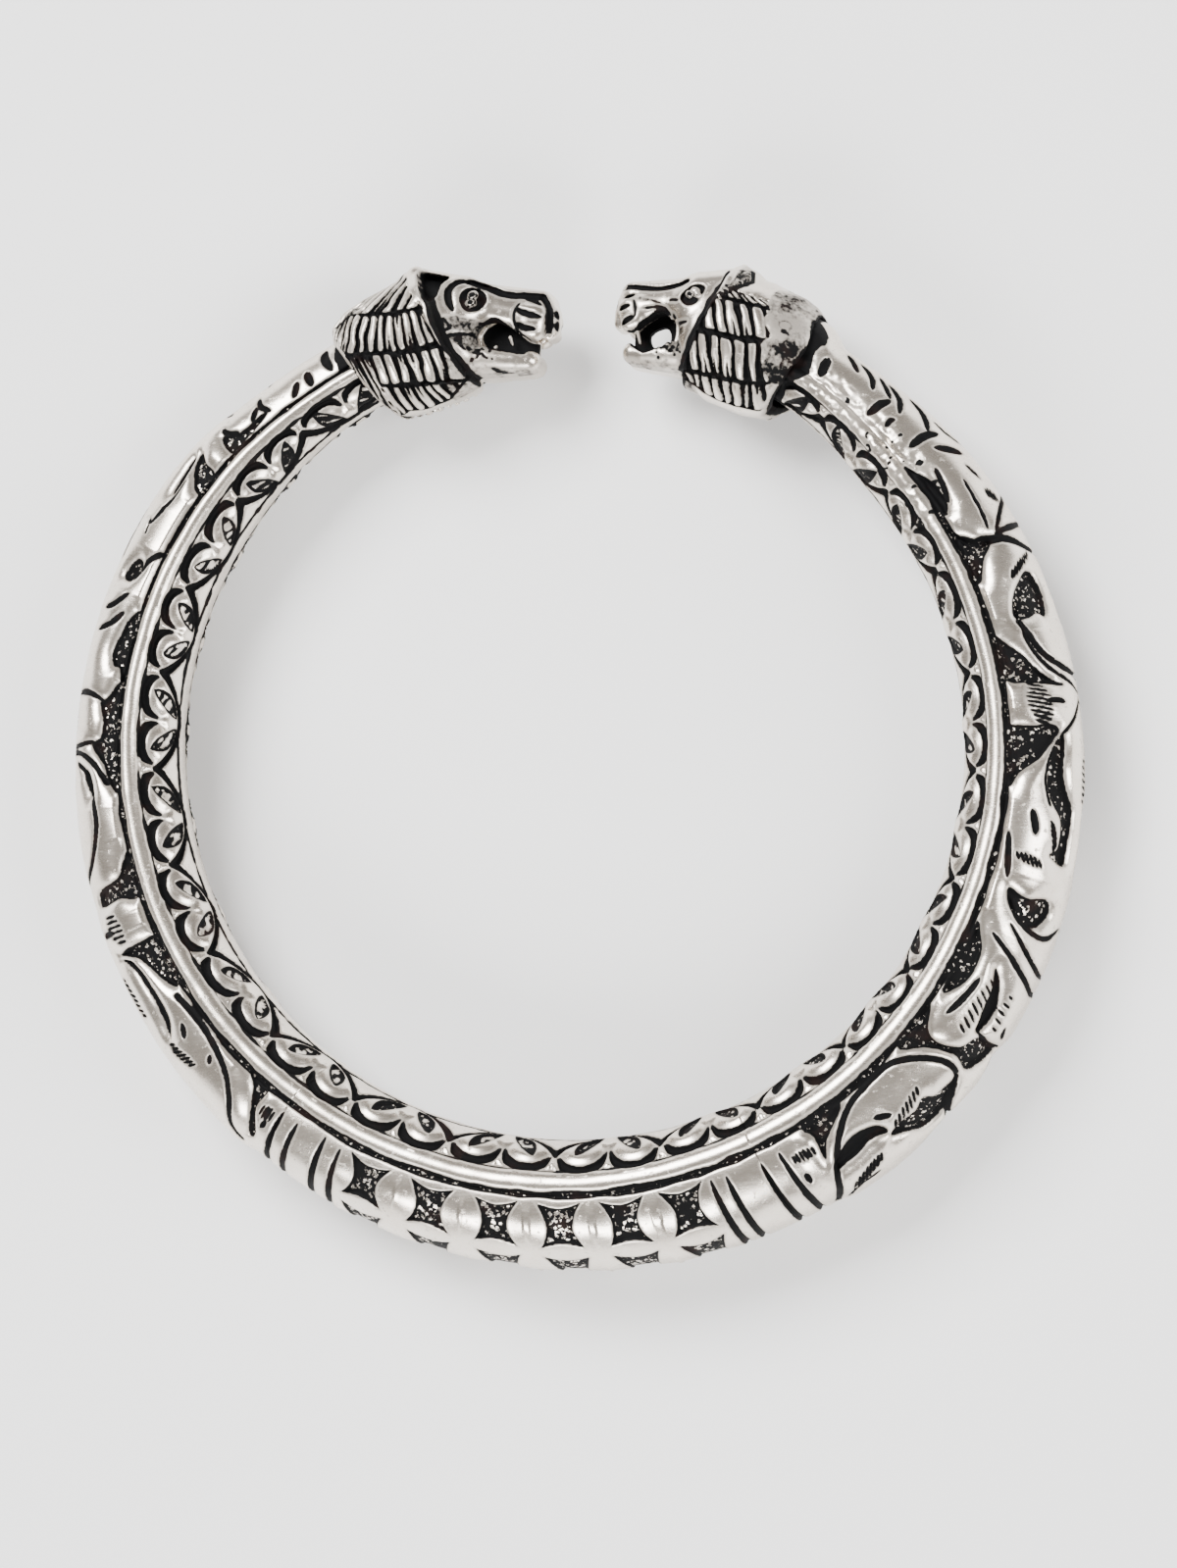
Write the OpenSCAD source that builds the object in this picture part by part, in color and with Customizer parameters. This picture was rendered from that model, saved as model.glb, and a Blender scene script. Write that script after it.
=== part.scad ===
// Open silver bangle of the kada kind: a chased tube bent into a ring, with a lion
// head cast for each end. The ring lies flat, its gap and both heads towards +Y,
// and +Z is up. Angles round the ring are counted from its front, at -Y, and are
// positive towards +X. Angles round the section are 0 at the outside of the ring,
// 90 on the upper face and 180 at the wrist.

/* [Ring] */
// Outside radius of the ring before it is bent out of round
ring_r = 38.55; // [37.5:0.05:40]
// Stretch of the ring along the way it is bent out of round
out_of_round = 1.045; // [1:0.005:1.06]
// Direction of that stretch, degrees from +X
out_of_round_dir = -32; // [-90:1:90]
// Angle from the front to the back of the left head's mane
left_end = -151.4; // [-153:0.1:-150]
// Angle from the front to the back of the right head's mane
right_end = 145.3; // [144:0.1:147]
// How far the right end stands out of the ring's curve
right_open = 0.6; // [0:0.1:0.8]

/* [Section] */
// Mean width of the tube, seen from above
tube_w = 8.32; // [7.5:0.05:9]
// How much wider the tube is at the front, and narrower at the heads
tube_swell = 1.5; // [0.5:0.1:2]
// How much wider the tube is on the right side, and narrower on the left
tube_lean = 0.15; // [0:0.05:0.3]
// Height of the section over its width
section_ratio = 1.12; // [1:0.02:1.2]
// How much the tube draws in where it meets the heads
neck_draw = 1.0; // [0.5:0.1:1.2]

/* [Relief] */
// Rise of the plain ridge along each face
ridge_rise = 0.45; // [0.2:0.05:0.6]
// Depth of the chased grooves
groove_deep = 0.3; // [0.1:0.05:0.4]
// Rise of the hearts along the wrist side
heart_rise = 0.22; // [0.1:0.02:0.3]
// Rise of the swollen lobes between the stars
lobe_rise = 0.3; // [0.1:0.05:0.4]
// Depth of the stippled ground of the stars and leaves
ground_deep = 0.4; // [0.2:0.05:0.5]
// Hearts along the wrist side, each of this many degrees
heart_pitch = 14.2; // [13.5:0.1:15]
// Stars across the front
star_count = 6; // [4:1:6]

/* [Heads] */
// Depth of the cut between two strands of the mane
strand_cut = 0.2; // [0.1:0.02:0.3]
// Strands along each tier of the mane
strands = 13; // [9:2:13]
// Length of the tube's end inside the mane
spigot_len = 4.2; // [3:0.1:4.5]
// Gap between the tube's end and its socket
play = 0.2; // [0.1:0.05:0.3]
// Nod of the left head against the tube
left_nod = 34.5; // [30:0.5:38]
// Nod of the right head against the tube
right_nod = 31; // [27:0.5:36]
// How much longer the right mane is than the left one
right_stretch = 1.06; // [1:0.01:1.08]
// How far the right face reaches, as a share of the left one
right_reach = 0.91; // [0.88:0.01:1]

/* [Hidden] */

// Angles round one half of the section at which the tube is drawn
SECTION = [0, 20, 38, 52, 65, 78, 88, 96, 107, 119, 134, 150, 166, 180];
// Cross-grooves beside the star panel
LEFT_CUTS = [-38, -35.7, -31.7, -29.3];
RIGHT_CUTS = [19.4, 21.4, 26, 28.6];
CUT_HALF = 0.8;
STAR_FIRST = -25;
STAR_PITCH = 8.1;
STAR_HALF = 2.6;
// Stations across one star and the lobe after it
STAR_MARKS = [-2.7, -1.5, 0, 1.5, 2.7, 4.05];
HEART_FIRST = -1.3;
// Width of the spigot over that of the tube, and sides of its socket
SPIGOT_SHARE = 0.8;
SOCKET_SIDES = 16;

// Raised leaves on the outside of the tube: place round the ring, place round the
// section, half length, half height, lean (all in degrees), share of the full rise
LEAVES = [
    // at, up, half_len, half_high, lean, rise
    [36, 22, 4, 34, 2.5, 0.8],
    [42, 70, 7.5, 16, 0, 1.0],
    [48.5, 45, 3.5, 18, 0, 0.9],
    [57, 68, 6, 16, 0, 1.0],
    [67, 72, 8, 11, 0.8, 0.7],
    [60.5, 20, 5, 24, 0, 0.9],
    [68.5, 40, 3, 34, 3, 0.7],
    [80.5, 62, 8, 20, 0, 1.0],
    [87, 14, 5.5, 28, 0, 0.9],
    [91, 42, 4, 30, -6, 0.6],
    [95, 70, 3.2, 24, 0, 0.8],
    [101.5, 28, 4, 36, 0, 0.9],
    [108.5, 70, 7.5, 16, -1, 0.9],
    [114, 35, 3.5, 30, -3, 0.7],
    [123.5, 52, 8, 34, 0, 1.0],
    [-54, 68, 9, 20, 0.5, 1.0],
    [-45, 42, 3.5, 26, -2, 0.7],
    [-62, 30, 6, 24, 2, 0.9],
    [-70.5, 50, 4, 40, 0, 0.8],
    [-83, 42, 7, 30, 0, 1.0],
    [-78, 72, 4.5, 16, 0, 0.7],
    [-94.5, 40, 3.2, 36, 0, 0.8],
    [-103, 50, 5.5, 30, 0, 0.9],
    [-112, 60, 5, 28, 0, 0.9],
    [-122.5, 70, 8, 20, 0, 0.9]
];

// Mane of a head, by distance from its rear edge along the tube: middle towards
// the outside of the ring, half width that way, share of the full half depth
MANE = [
    // along, middle, half, depth
    [0.3, 0.15, 3.35, 0.66],
    [1.2, 0.15, 3.9, 0.76],
    [2.4, -0.1, 4.7, 0.86],
    [4.2, -0.35, 5.1, 0.95],
    [6.8, -0.6, 5.3, 1.0],
    [8.7, -0.7, 5.25, 0.97]
];
// Places round one side of the mane, 0 at the crest and 1 at the throat; every
// second one is a groove between two tiers
TIERS = [0, 0.12, 0.24, 0.35, 0.47, 0.565, 0.66, 0.76, 0.86, 0.93, 1];
TIER_CUT = 0.3;
TIER_TWIST = 0.036;
RIM_RISE = 0.15;
FACE_CUT = 0.9;
RIM_AT = 8.7;
RIM_END = 9.3;

bend = [cos(out_of_round_dir), sin(out_of_round_dir)];
function bent(p) = p + (out_of_round - 1) * (p * bend) * bend;
function lump(x, half) = abs(x) >= half ? 0 : pow(cos(90 * x / half), 2);
function ease(x) = let (u = min(1, max(0, x))) u * u * (3 - 2 * u);

// Share of the neck's draw at an angle round the ring
function neck(b) = ease((abs(b) - 126) / 24);
function width(b) = tube_w + tube_swell * cos(b) + tube_lean * sin(b) - neck_draw * neck(b);
function middle_r(b) = ring_r + right_open * ease((b - 128) / 22)
    - 0.6 * neck_draw * neck(b) - width(b) / 2;

// Hearts on the wrist side: x runs from -1 to 1 across one heart
function heart_x(b) =
    let (n = (b - HEART_FIRST) / heart_pitch) 2 * (n - floor(n)) - 1;
function heart_side(a) = lookup(a, [[118, 1], [134, 1], [150, 0.72], [166, 0.15], [170, 0]]);
function scallop(x) = 118 + 14 * (1 - abs(sin(180 * x)));
function hearts(b, a) =
    let (x = heart_x(b), side = heart_side(a))
    a < 116 || a > 172 ? 0
    : a < scallop(x) ? -groove_deep
    : abs(abs(x) - side) < 0.13 ? -0.7 * groove_deep
    : abs(x) < side ? heart_rise - 0.3 * lump(abs(x) - 0.45, 0.22) * lump(a - 147, 14)
    : 0;

// Stars and lobes on the outside at the front: three rows, upright in the section
function star_x(b) =
    let (n = (b - STAR_FIRST) / STAR_PITCH) STAR_PITCH * (n - round(n));
function in_panel(b) = b > STAR_FIRST - STAR_PITCH / 2
    && b < STAR_FIRST + (star_count - 0.5) * STAR_PITCH;
function star_row(b, a, up, high) =
    let (x = abs(star_x(b)) / STAR_HALF, y = abs(a - up) / high)
    y > 1 ? 0
    : x < 0.55 + 0.45 * y * y ? -ground_deep
    : lobe_rise * (1 - y * y);
function stars(b, a) = in_panel(b) ? star_row(b, a, 65, 20) + star_row(b, a, 0, 33) : 0;

function cuts(b, a) = a > 88 ? 0
    : -groove_deep * max([for (c = concat(LEFT_CUTS, RIGHT_CUTS)) lump(b - c, CUT_HALF)]);

// Leaves over their sunk ground, between the cross-grooves and the plain necks
function leaf(b, a, row) =
    let (x = (b - row[0]) / row[2],
         y = (a - row[1] - row[4] * (b - row[0])) / row[3],
         q = x * x + y * y)
    q >= 1 ? 0 : (1 - q * q) * row[5];
function ground(b, a) = ease((90 - a) / 4)
    * (b > 0 ? ease((b - 31) / 3) * ease((132 - b) / 4) : ease((-b - 40) / 3) * ease((131 + b) / 4));
function leaves(b, a) =
    let (share = ground(b, a))
    share == 0 ? 0
    : share * (2.1 * ground_deep * max([for (row = LEAVES) leaf(b, a, row)]) - ground_deep);

function relief(b, up) =
    let (a = abs(up))
    ridge_rise * lump(a - 107, 11) - groove_deep * lump(a - 95.5, 4)
    + hearts(b, a) + stars(b, a) + cuts(b, a) + leaves(b, a);

// A point at a half width from the tube's middle line
function tube_point(b, up, half) =
    let (r = middle_r(b) + half * cos(up),
         p = bent([r * sin(b), -r * cos(b)]))
    [p[0], p[1], half * section_ratio * sin(up)];

// Rings of the chased tube and of its plain spigot
around = concat(SECTION, [for (i = [len(SECTION) - 2:-1:1]) -SECTION[i]]);
function tube_ring(b) = [for (up = around) tube_point(b, up, width(b) / 2 + relief(b, up))];
function spigot_half(b) = SPIGOT_SHARE * width(b) / 2;
function spigot_ring(b) = [for (up = around) tube_point(b, up, spigot_half(b))];
function socket_ring(b) =
    [for (i = [0:SOCKET_SIDES - 1]) tube_point(b, i * 360 / SOCKET_SIDES, spigot_half(b) + play)];

// Stations round the ring
function even(from, to, count) = [for (i = [0:count - 1]) from + (to - from) * i / count];
stations = concat(
    even(left_end, LEFT_CUTS[0] - 1.6, 57),
    [for (c = LEFT_CUTS) each [c - CUT_HALF, c, c + CUT_HALF]],
    [for (i = [0:star_count - 1]) for (m = STAR_MARKS) STAR_FIRST + i * STAR_PITCH + m],
    [for (c = RIGHT_CUTS) each [c - CUT_HALF, c, c + CUT_HALF]],
    even(30.6, right_end, 60), [right_end]);

// Angle that a length takes round the ring
function turn_of(length) = length / (ring_r - tube_w / 2) * 180 / PI;
spigot_turn = turn_of(spigot_len);
shoulder = turn_of(0.15);

// Skin of a run of closed sections, given as a list of rings of points
module skin(rings) {
    n = len(rings[0]);
    last = len(rings) - 1;
    points = [for (ring = rings) each ring];
    sides = [for (i = [0:last - 1]) for (j = [0:n - 1])
        let (k = (j + 1) % n)
        each [[i * n + j, i * n + k, (i + 1) * n + k],
              [i * n + j, (i + 1) * n + k, (i + 1) * n + j]]];
    first_cap = [for (j = [1:n - 2]) [0, j + 1, j]];
    last_cap = [for (j = [1:n - 2]) [last * n, last * n + j, last * n + j + 1]];
    polyhedron(points, concat(sides, first_cap, last_cap), convexity = 10);
}

module band() {
    color("silver")
    skin(concat(
        [spigot_ring(left_end - spigot_turn), spigot_ring(left_end - shoulder)],
        [for (b = stations) tube_ring(b)],
        [spigot_ring(right_end + shoulder), spigot_ring(right_end + spigot_turn)]));
}

// The space a mane keeps free for the spigot, from outside the mane to past its end
module socket(end) {
    away = sign(end);
    outside = end - away * turn_of(1.5);
    halfway = end + away * spigot_turn / 2;
    bottom = end + away * (spigot_turn + turn_of(play));
    skin([for (b = away > 0 ? [outside, halfway, bottom] : [bottom, halfway, outside])
        socket_ring(b)]);
}

half_depth = section_ratio * (width(0) / 2 + ridge_rise) * sin(107);

function mane_at(along, column) = lookup(along, [for (row = MANE) [row[0], row[column]]]);
// Place round one side of the mane: the tiers sink towards the face
function tier_angle(c, along) =
    90 - 180 * (c + 4 * TIER_TWIST * (along - 5.5) * c * (1 - c));
function mane_point(along, c, side, sink) =
    let (turn = tier_angle(c, along))
    [along,
     mane_at(along, 1) + (mane_at(along, 2) - sink) * sin(turn),
     side * (mane_at(along, 3) * half_depth - sink) * cos(turn)];
function mane_ring(along, cut, tier_cut) = [
    for (i = [0:len(TIERS) - 1]) mane_point(along, TIERS[i], -1, cut + (i % 2 == 0 ? tier_cut : 0)),
    for (i = [len(TIERS) - 2:-1:1]) mane_point(along, TIERS[i], 1, cut + (i % 2 == 0 ? tier_cut : 0))];

module mane() {
    step = (RIM_AT - MANE[0][0]) / (2 * strands);
    skin(concat(
        [for (i = [0:2 * strands - 1])
            mane_ring(MANE[0][0] + i * step, i % 2 == 1 ? strand_cut : 0, i == 0 ? 0 : TIER_CUT)],
        [mane_ring(RIM_AT, -RIM_RISE, 0),
         mane_ring(RIM_END, -RIM_RISE, 0),
         mane_ring(RIM_END + 0.15, FACE_CUT, 0),
         mane_ring(RIM_END + 0.5, 2 * FACE_CUT, 0)]));
}

// A ball of the head, at a distance to each side of its middle plane
module ball(along, up, out, r) {
    translate([along, up, out]) sphere(r, $fn = r > 0.9 ? 8 : 6);
}

// A form spanned by balls and repeated on both sides of the head
module paired(balls) {
    for (side = [-1, 1])
        hull() for (b = balls) ball(b[0], b[1], side * b[2], b[3]);
}

// A form that crosses the middle plane of the head
module across(balls) {
    hull() for (b = balls) for (side = [-1, 1]) ball(b[0], b[1], side * b[2], b[3]);
}

// Forms of the face, each a list of balls: along, up, out, radius
SKULL = [[-2.8, 2.0, 1.2, 2.2], [0.6, 1.6, 1.5, 2.2], [-1.6, 0, 2.2, 2.5], [0.2, -1.6, 2.0, 2.2]];
BRIDGE = [[1.2, 1.8, 1.6, 1.8], [6.9, 2.3, 0.7, 1.0]];
PAD = [[5.5, 0.9, 1.35, 1.2], [6.9, 1.0, 1.25, 1.2], [6.6, 0.1, 1.4, 0.95]];
NOSE = [[7.35, 2.4, 0.6, 0.7], [7.9, 1.2, 0.6, 0.68], [8.0, 0.1, 0.6, 0.62]];
CHEEK = [[0.4, -0.8, 2.6, 1.5], [1.9, 1.0, 2.2, 1.3], [1.2, -2.5, 2.0, 1.3]];
JAW = [[1.0, -2.7, 1.6, 1.3], [3.0, -2.87, 1.55, 1.08], [5.6, -2.7, 1.3, 0.96], [7.05, -2.62, 1.0, 0.88]];
BROW = [[0.2, 2.9, 2.8, 0.55], [2.6, 2.9, 2.0, 0.45]];
EYE = [[1.2, 1.6, 3.3, 0.5], [2.0, 1.75, 3.0, 0.5]];
TOOTH = [[5.2, -0.7, 1.3, 0.35], [5.6, -2.2, 1.2, 0.2]];
EAR = [[-0.8, 2.97, 2.71, 0.92], [0.26, 2.73, 2.97, 0.67], [0.04, 4.23, 2.57, 0.34]];
// Open mouth, seen from the side of the head
MOUTH = [[2.75, -0.6], [3.4, 0.35], [4.1, 0.35], [5.5, -0.6], [7.0, -1.0], [9.2, -0.9],
    [9.2, -2.2], [6.9, -2.1], [5.4, -2.15], [3.8, -2.1], [3.0, -1.5]];
// Walls in the mouths of the two heads: rear, bottom, length, height, thickness. The
// right one leaves the back of the mouth open right through.
LEFT_WALL = [2.3, -2.6, 4.9, 3.3, 0.9];
RIGHT_WALL = [5.1, -2.6, 1.5, 2.2, 0.9];
FACE_AT = [9.4, -0.55, 0];

module face(wall) {
    difference() {
        union() {
            across(SKULL);
            across(BRIDGE);
            paired(PAD);
            across(NOSE);
            paired(CHEEK);
            across(JAW);
        }
        translate([0, 0, -8]) linear_extrude(16) polygon(MOUTH);
    }
    translate([wall[0], wall[1], -wall[4] / 2]) cube([wall[2], wall[3], wall[4]]);
    paired(TOOTH);
    paired(BROW);
    paired(EYE);
}

// A head along its own tube: X away from the band, Y to the outside of the ring
module lion_head(nod, stretch, reach, wall) {
    scale([stretch, 1, 1]) mane();
    translate([stretch * FACE_AT[0], FACE_AT[1], 0]) {
        paired(EAR);
        rotate([0, 0, -nod]) scale([reach, 1, 1]) face(wall);
    }
}

// Sets a head on the tube's end and clears the socket
module fitted_head(end, nod, stretch, reach, wall) {
    away = sign(end);
    middle = bent(middle_r(end) * [sin(end), -cos(end)]);
    ahead = bent(middle_r(end) * [sin(end + away), -cos(end + away)]) - middle;
    heading = atan2(ahead[1], ahead[0]);
    color("silver")
    difference() {
        translate([middle[0], middle[1], 0])
            rotate([0, 0, heading])
            mirror([0, away > 0 ? 1 : 0, 0])
            lion_head(nod, stretch, reach, wall);
        socket(end);
    }
}

module head_left() { fitted_head(left_end, left_nod, 1, 1, LEFT_WALL); }
module head_right() { fitted_head(right_end, right_nod, right_stretch, right_reach, RIGHT_WALL); }

// Lifts the ring's middle plane so that the bangle rests at height 0
rest = [0, 0, half_depth];

translate(rest) band();
translate(rest) head_left();
translate(rest) head_right();
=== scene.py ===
"""Dresses the open silver kada: chased relief on the band, carved lion heads, oxidised silver."""
import logging
import math
from dataclasses import dataclass, field
from enum import Enum
from functools import partial
from typing import Callable, Sequence

import bpy
import numpy as np
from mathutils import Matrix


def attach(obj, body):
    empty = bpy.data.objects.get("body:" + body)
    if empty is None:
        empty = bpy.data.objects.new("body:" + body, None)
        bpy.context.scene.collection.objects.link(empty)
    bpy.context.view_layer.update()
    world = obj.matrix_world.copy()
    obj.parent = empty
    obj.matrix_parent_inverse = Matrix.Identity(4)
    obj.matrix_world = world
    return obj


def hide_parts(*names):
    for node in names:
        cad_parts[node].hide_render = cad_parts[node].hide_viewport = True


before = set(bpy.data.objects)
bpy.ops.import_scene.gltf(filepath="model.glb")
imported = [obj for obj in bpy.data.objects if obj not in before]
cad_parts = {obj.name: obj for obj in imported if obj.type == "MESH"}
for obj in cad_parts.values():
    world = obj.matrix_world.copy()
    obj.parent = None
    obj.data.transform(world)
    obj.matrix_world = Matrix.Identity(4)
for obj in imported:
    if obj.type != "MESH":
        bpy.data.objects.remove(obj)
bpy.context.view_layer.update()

import openvdb
from mathutils import Matrix, Vector

LOG = logging.getLogger("kada")
MM = 0.001
Array = np.ndarray
Points = tuple[tuple[float, float], ...]
Node = bpy.types.Node
Socket = bpy.types.NodeSocket
AddNode = Callable[..., Node]

# Distance that stands for no form or mark near by, and the dark field's value where all is black
FAR_MM = 9.0
BLACK = 0.3
TINY = 1e-9


# Small helpers shared by the band and the heads

def ease(x: Array | float) -> Array | float:
    """Smooth step of x from 0 to 1."""
    u = np.clip(x, 0.0, 1.0)
    return u * u * (3 - 2 * u)


def linear(code: str) -> tuple[float, float, float, float]:
    """Turn an sRGB hex code into a linear colour.

    Args:
        code: Six hex digits, such as "c8c4bc".

    Returns:
        Red, green, blue and a full alpha.
    """
    parts = [int(code[i:i + 2], 16) / 255 for i in (0, 2, 4)]
    r, g, b = (c / 12.92 if c <= 0.04045 else ((c + 0.055) / 1.055) ** 2.4 for c in parts)
    return r, g, b, 1.0


def wander(shape_a: Array, shape_b: Array, size: float, seed: int) -> Array:
    """Smooth irregularity from -1 to 1, as a hand that shakes a little.

    Args:
        shape_a: First coordinate, in the unit of size.
        shape_b: Second coordinate, in the unit of size.
        size: Distance over which the value changes.
        seed: Number that picks the pattern.

    Returns:
        An array of the two coordinates' common shape.
    """
    rng = np.random.default_rng(seed)
    table = rng.uniform(-1, 1, (64, 64))
    a, b = np.broadcast_arrays(np.asarray(shape_a) / size, np.asarray(shape_b) / size)
    i, j = np.floor(a).astype(int), np.floor(b).astype(int)
    s, t = ease(a - i), ease(b - j)
    corner = [[table[(i + m) % 64, (j + n) % 64] for n in (0, 1)] for m in (0, 1)]
    return ((corner[0][0] * (1 - s) + corner[1][0] * s) * (1 - t)
            + (corner[0][1] * (1 - s) + corner[1][1] * s) * t)


def look_up(table: Points, by: Array) -> Array:
    """Look values up in a table of two columns."""
    rows = np.array(table)
    return np.interp(by, rows[:, 0], rows[:, 1])


def rounded(points: Points, closed: bool, steps: int = 4) -> Array:
    """Points of a smooth line through the given ones.

    Args:
        points: The given points.
        closed: True for an outline.
        steps: Points for each span.

    Returns:
        The points, one a row.
    """
    p = np.array(points, float)
    n = len(p)
    spans = n if closed else n - 1
    out = []
    for k in range(spans):
        around = range(k - 1, k + 3)
        q = [p[m % n] if closed else p[min(max(m, 0), n - 1)] for m in around]
        for i in range(steps):
            t = i / steps
            out.append(0.5 * (2 * q[1] + (q[2] - q[0]) * t
                              + (2 * q[0] - 5 * q[1] + 4 * q[2] - q[3]) * t * t
                              + (3 * q[1] - q[0] - 3 * q[2] + q[3]) * t ** 3))
    if not closed:
        out.append(p[-1])
    return np.array(out)


# The tube, with the sizes of the part's source

@dataclass(frozen=True)
class Tube:
    """The bent tube: radii and widths in millimetres, angles in degrees."""

    ring_r: float = 38.55
    out_of_round: float = 1.045
    out_of_round_dir: float = -32.0
    left_end: float = -151.4
    right_end: float = 145.3
    right_open: float = 0.6
    tube_w: float = 8.32
    tube_swell: float = 1.5
    tube_lean: float = 0.15
    section_ratio: float = 1.12
    neck_draw: float = 1.0
    ridge_rise: float = 0.45
    ridge_peak: float = 107.0

    @property
    def half_depth(self) -> float:
        """Height of the ring's middle plane over the floor."""
        front = (self.tube_w + self.tube_swell) / 2 + self.ridge_rise
        return self.section_ratio * front * math.sin(math.radians(self.ridge_peak))

    def neck(self, b: Array) -> Array:
        """Share of the neck's draw at an angle round the ring."""
        return ease((np.abs(b) - 126) / 24)

    def width(self, b: Array) -> Array:
        """Work out the width of the tube.

        Args:
            b: Angles round the ring.

        Returns:
            The widths in millimetres.
        """
        r = np.radians(b)
        return (self.tube_w + self.tube_swell * np.cos(r) + self.tube_lean * np.sin(r)
                - self.neck_draw * self.neck(b))

    def middle_r(self, b: Array) -> Array:
        """Radius of the tube's middle line."""
        return (self.ring_r + self.right_open * ease((b - 128) / 22)
                - 0.6 * self.neck_draw * self.neck(b) - self.width(b) / 2)

    def bent(self, x: Array, y: Array) -> tuple[Array, Array]:
        """Stretch a round ring's points out of round.

        Args:
            x: Their places from left to right.
            y: Their places from front to back.

        Returns:
            The new places.
        """
        d = math.radians(self.out_of_round_dir)
        c, s = math.cos(d), math.sin(d)
        along = (x * c + y * s) * (self.out_of_round - 1)
        return x + along * c, y + along * s

    def point(self, b: Array, up: Array, half: Array) -> Array:
        """Points on the tube.

        Args:
            b: Angles round the ring.
            up: Angles round the section.
            half: Half widths from the tube's middle line, in millimetres.

        Returns:
            The points in metres.
        """
        br, ur = np.radians(b), np.radians(up)
        r = self.middle_r(b) + half * np.cos(ur)
        x, y = self.bent(r * np.sin(br), -r * np.cos(br))
        z = half * self.section_ratio * np.sin(ur) + self.half_depth
        return np.stack(np.broadcast_arrays(x, y, z), -1) * MM

    def end_frame(self, end: float) -> tuple[Array, Array, Array]:
        """Where a head sits.

        Args:
            end: The tube's end, round the ring.

        Returns:
            The middle of the tube's end, and the directions forward and outward there.
        """
        def middle(b: float) -> Array:
            """Find a point of the middle line, at the end's radius.

            Args:
                b: Angle round the ring.

            Returns:
                Its two coordinates.
            """
            r = math.radians(b)
            m = float(self.middle_r(np.array(float(end))))
            return np.array(self.bent(m * math.sin(r), -m * math.cos(r)))
        at = middle(end)
        ahead = middle(end + math.copysign(1, end)) - at
        ahead /= np.linalg.norm(ahead)
        out = np.array([-ahead[1], ahead[0]]) * (1 if end < 0 else -1)
        return at, ahead, out


TUBE = Tube()
# Degrees round the ring to a millimetre along the tube
PER_MM = math.degrees(1 / (TUBE.ring_r - TUBE.tube_w / 2))


# Marks of the chaser on the unrolled tube: angle round the ring, angle round the section

class Tool(Enum):
    """What the chaser cuts with."""

    PUNCH = "sunk ground, stippled"
    HOLLOW = "sunk ground, plain and dark"
    LINER = "single groove, tapered at both ends"
    EDGE = "single groove of even width"


@dataclass(frozen=True)
class Mark:
    """One mark: the tool, its points, and the width of a groove in millimetres."""

    tool: Tool
    points: Points
    width: float = 0.3


@dataclass(frozen=True)
class Hatching:
    """A row of short parallel cuts between two points, each with the same slant."""

    start: tuple[float, float]
    end: tuple[float, float]
    count: int
    slant: tuple[float, float]
    width: float = 0.16


def taper(tool: Tool, place: Array) -> Array:
    """How a groove narrows along its length.

    Args:
        tool: The tool that cuts it.
        place: Place along it from 0 to 1.

    Returns:
        The share of its full width there.
    """
    if tool is Tool.LINER:
        return np.sqrt(np.clip(4 * place * (1 - place), 0.02, 1))
    return np.ones_like(place)


# Short names for the lists of marks
P, H, L, E = Tool.PUNCH, Tool.HOLLOW, Tool.LINER, Tool.EDGE

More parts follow.
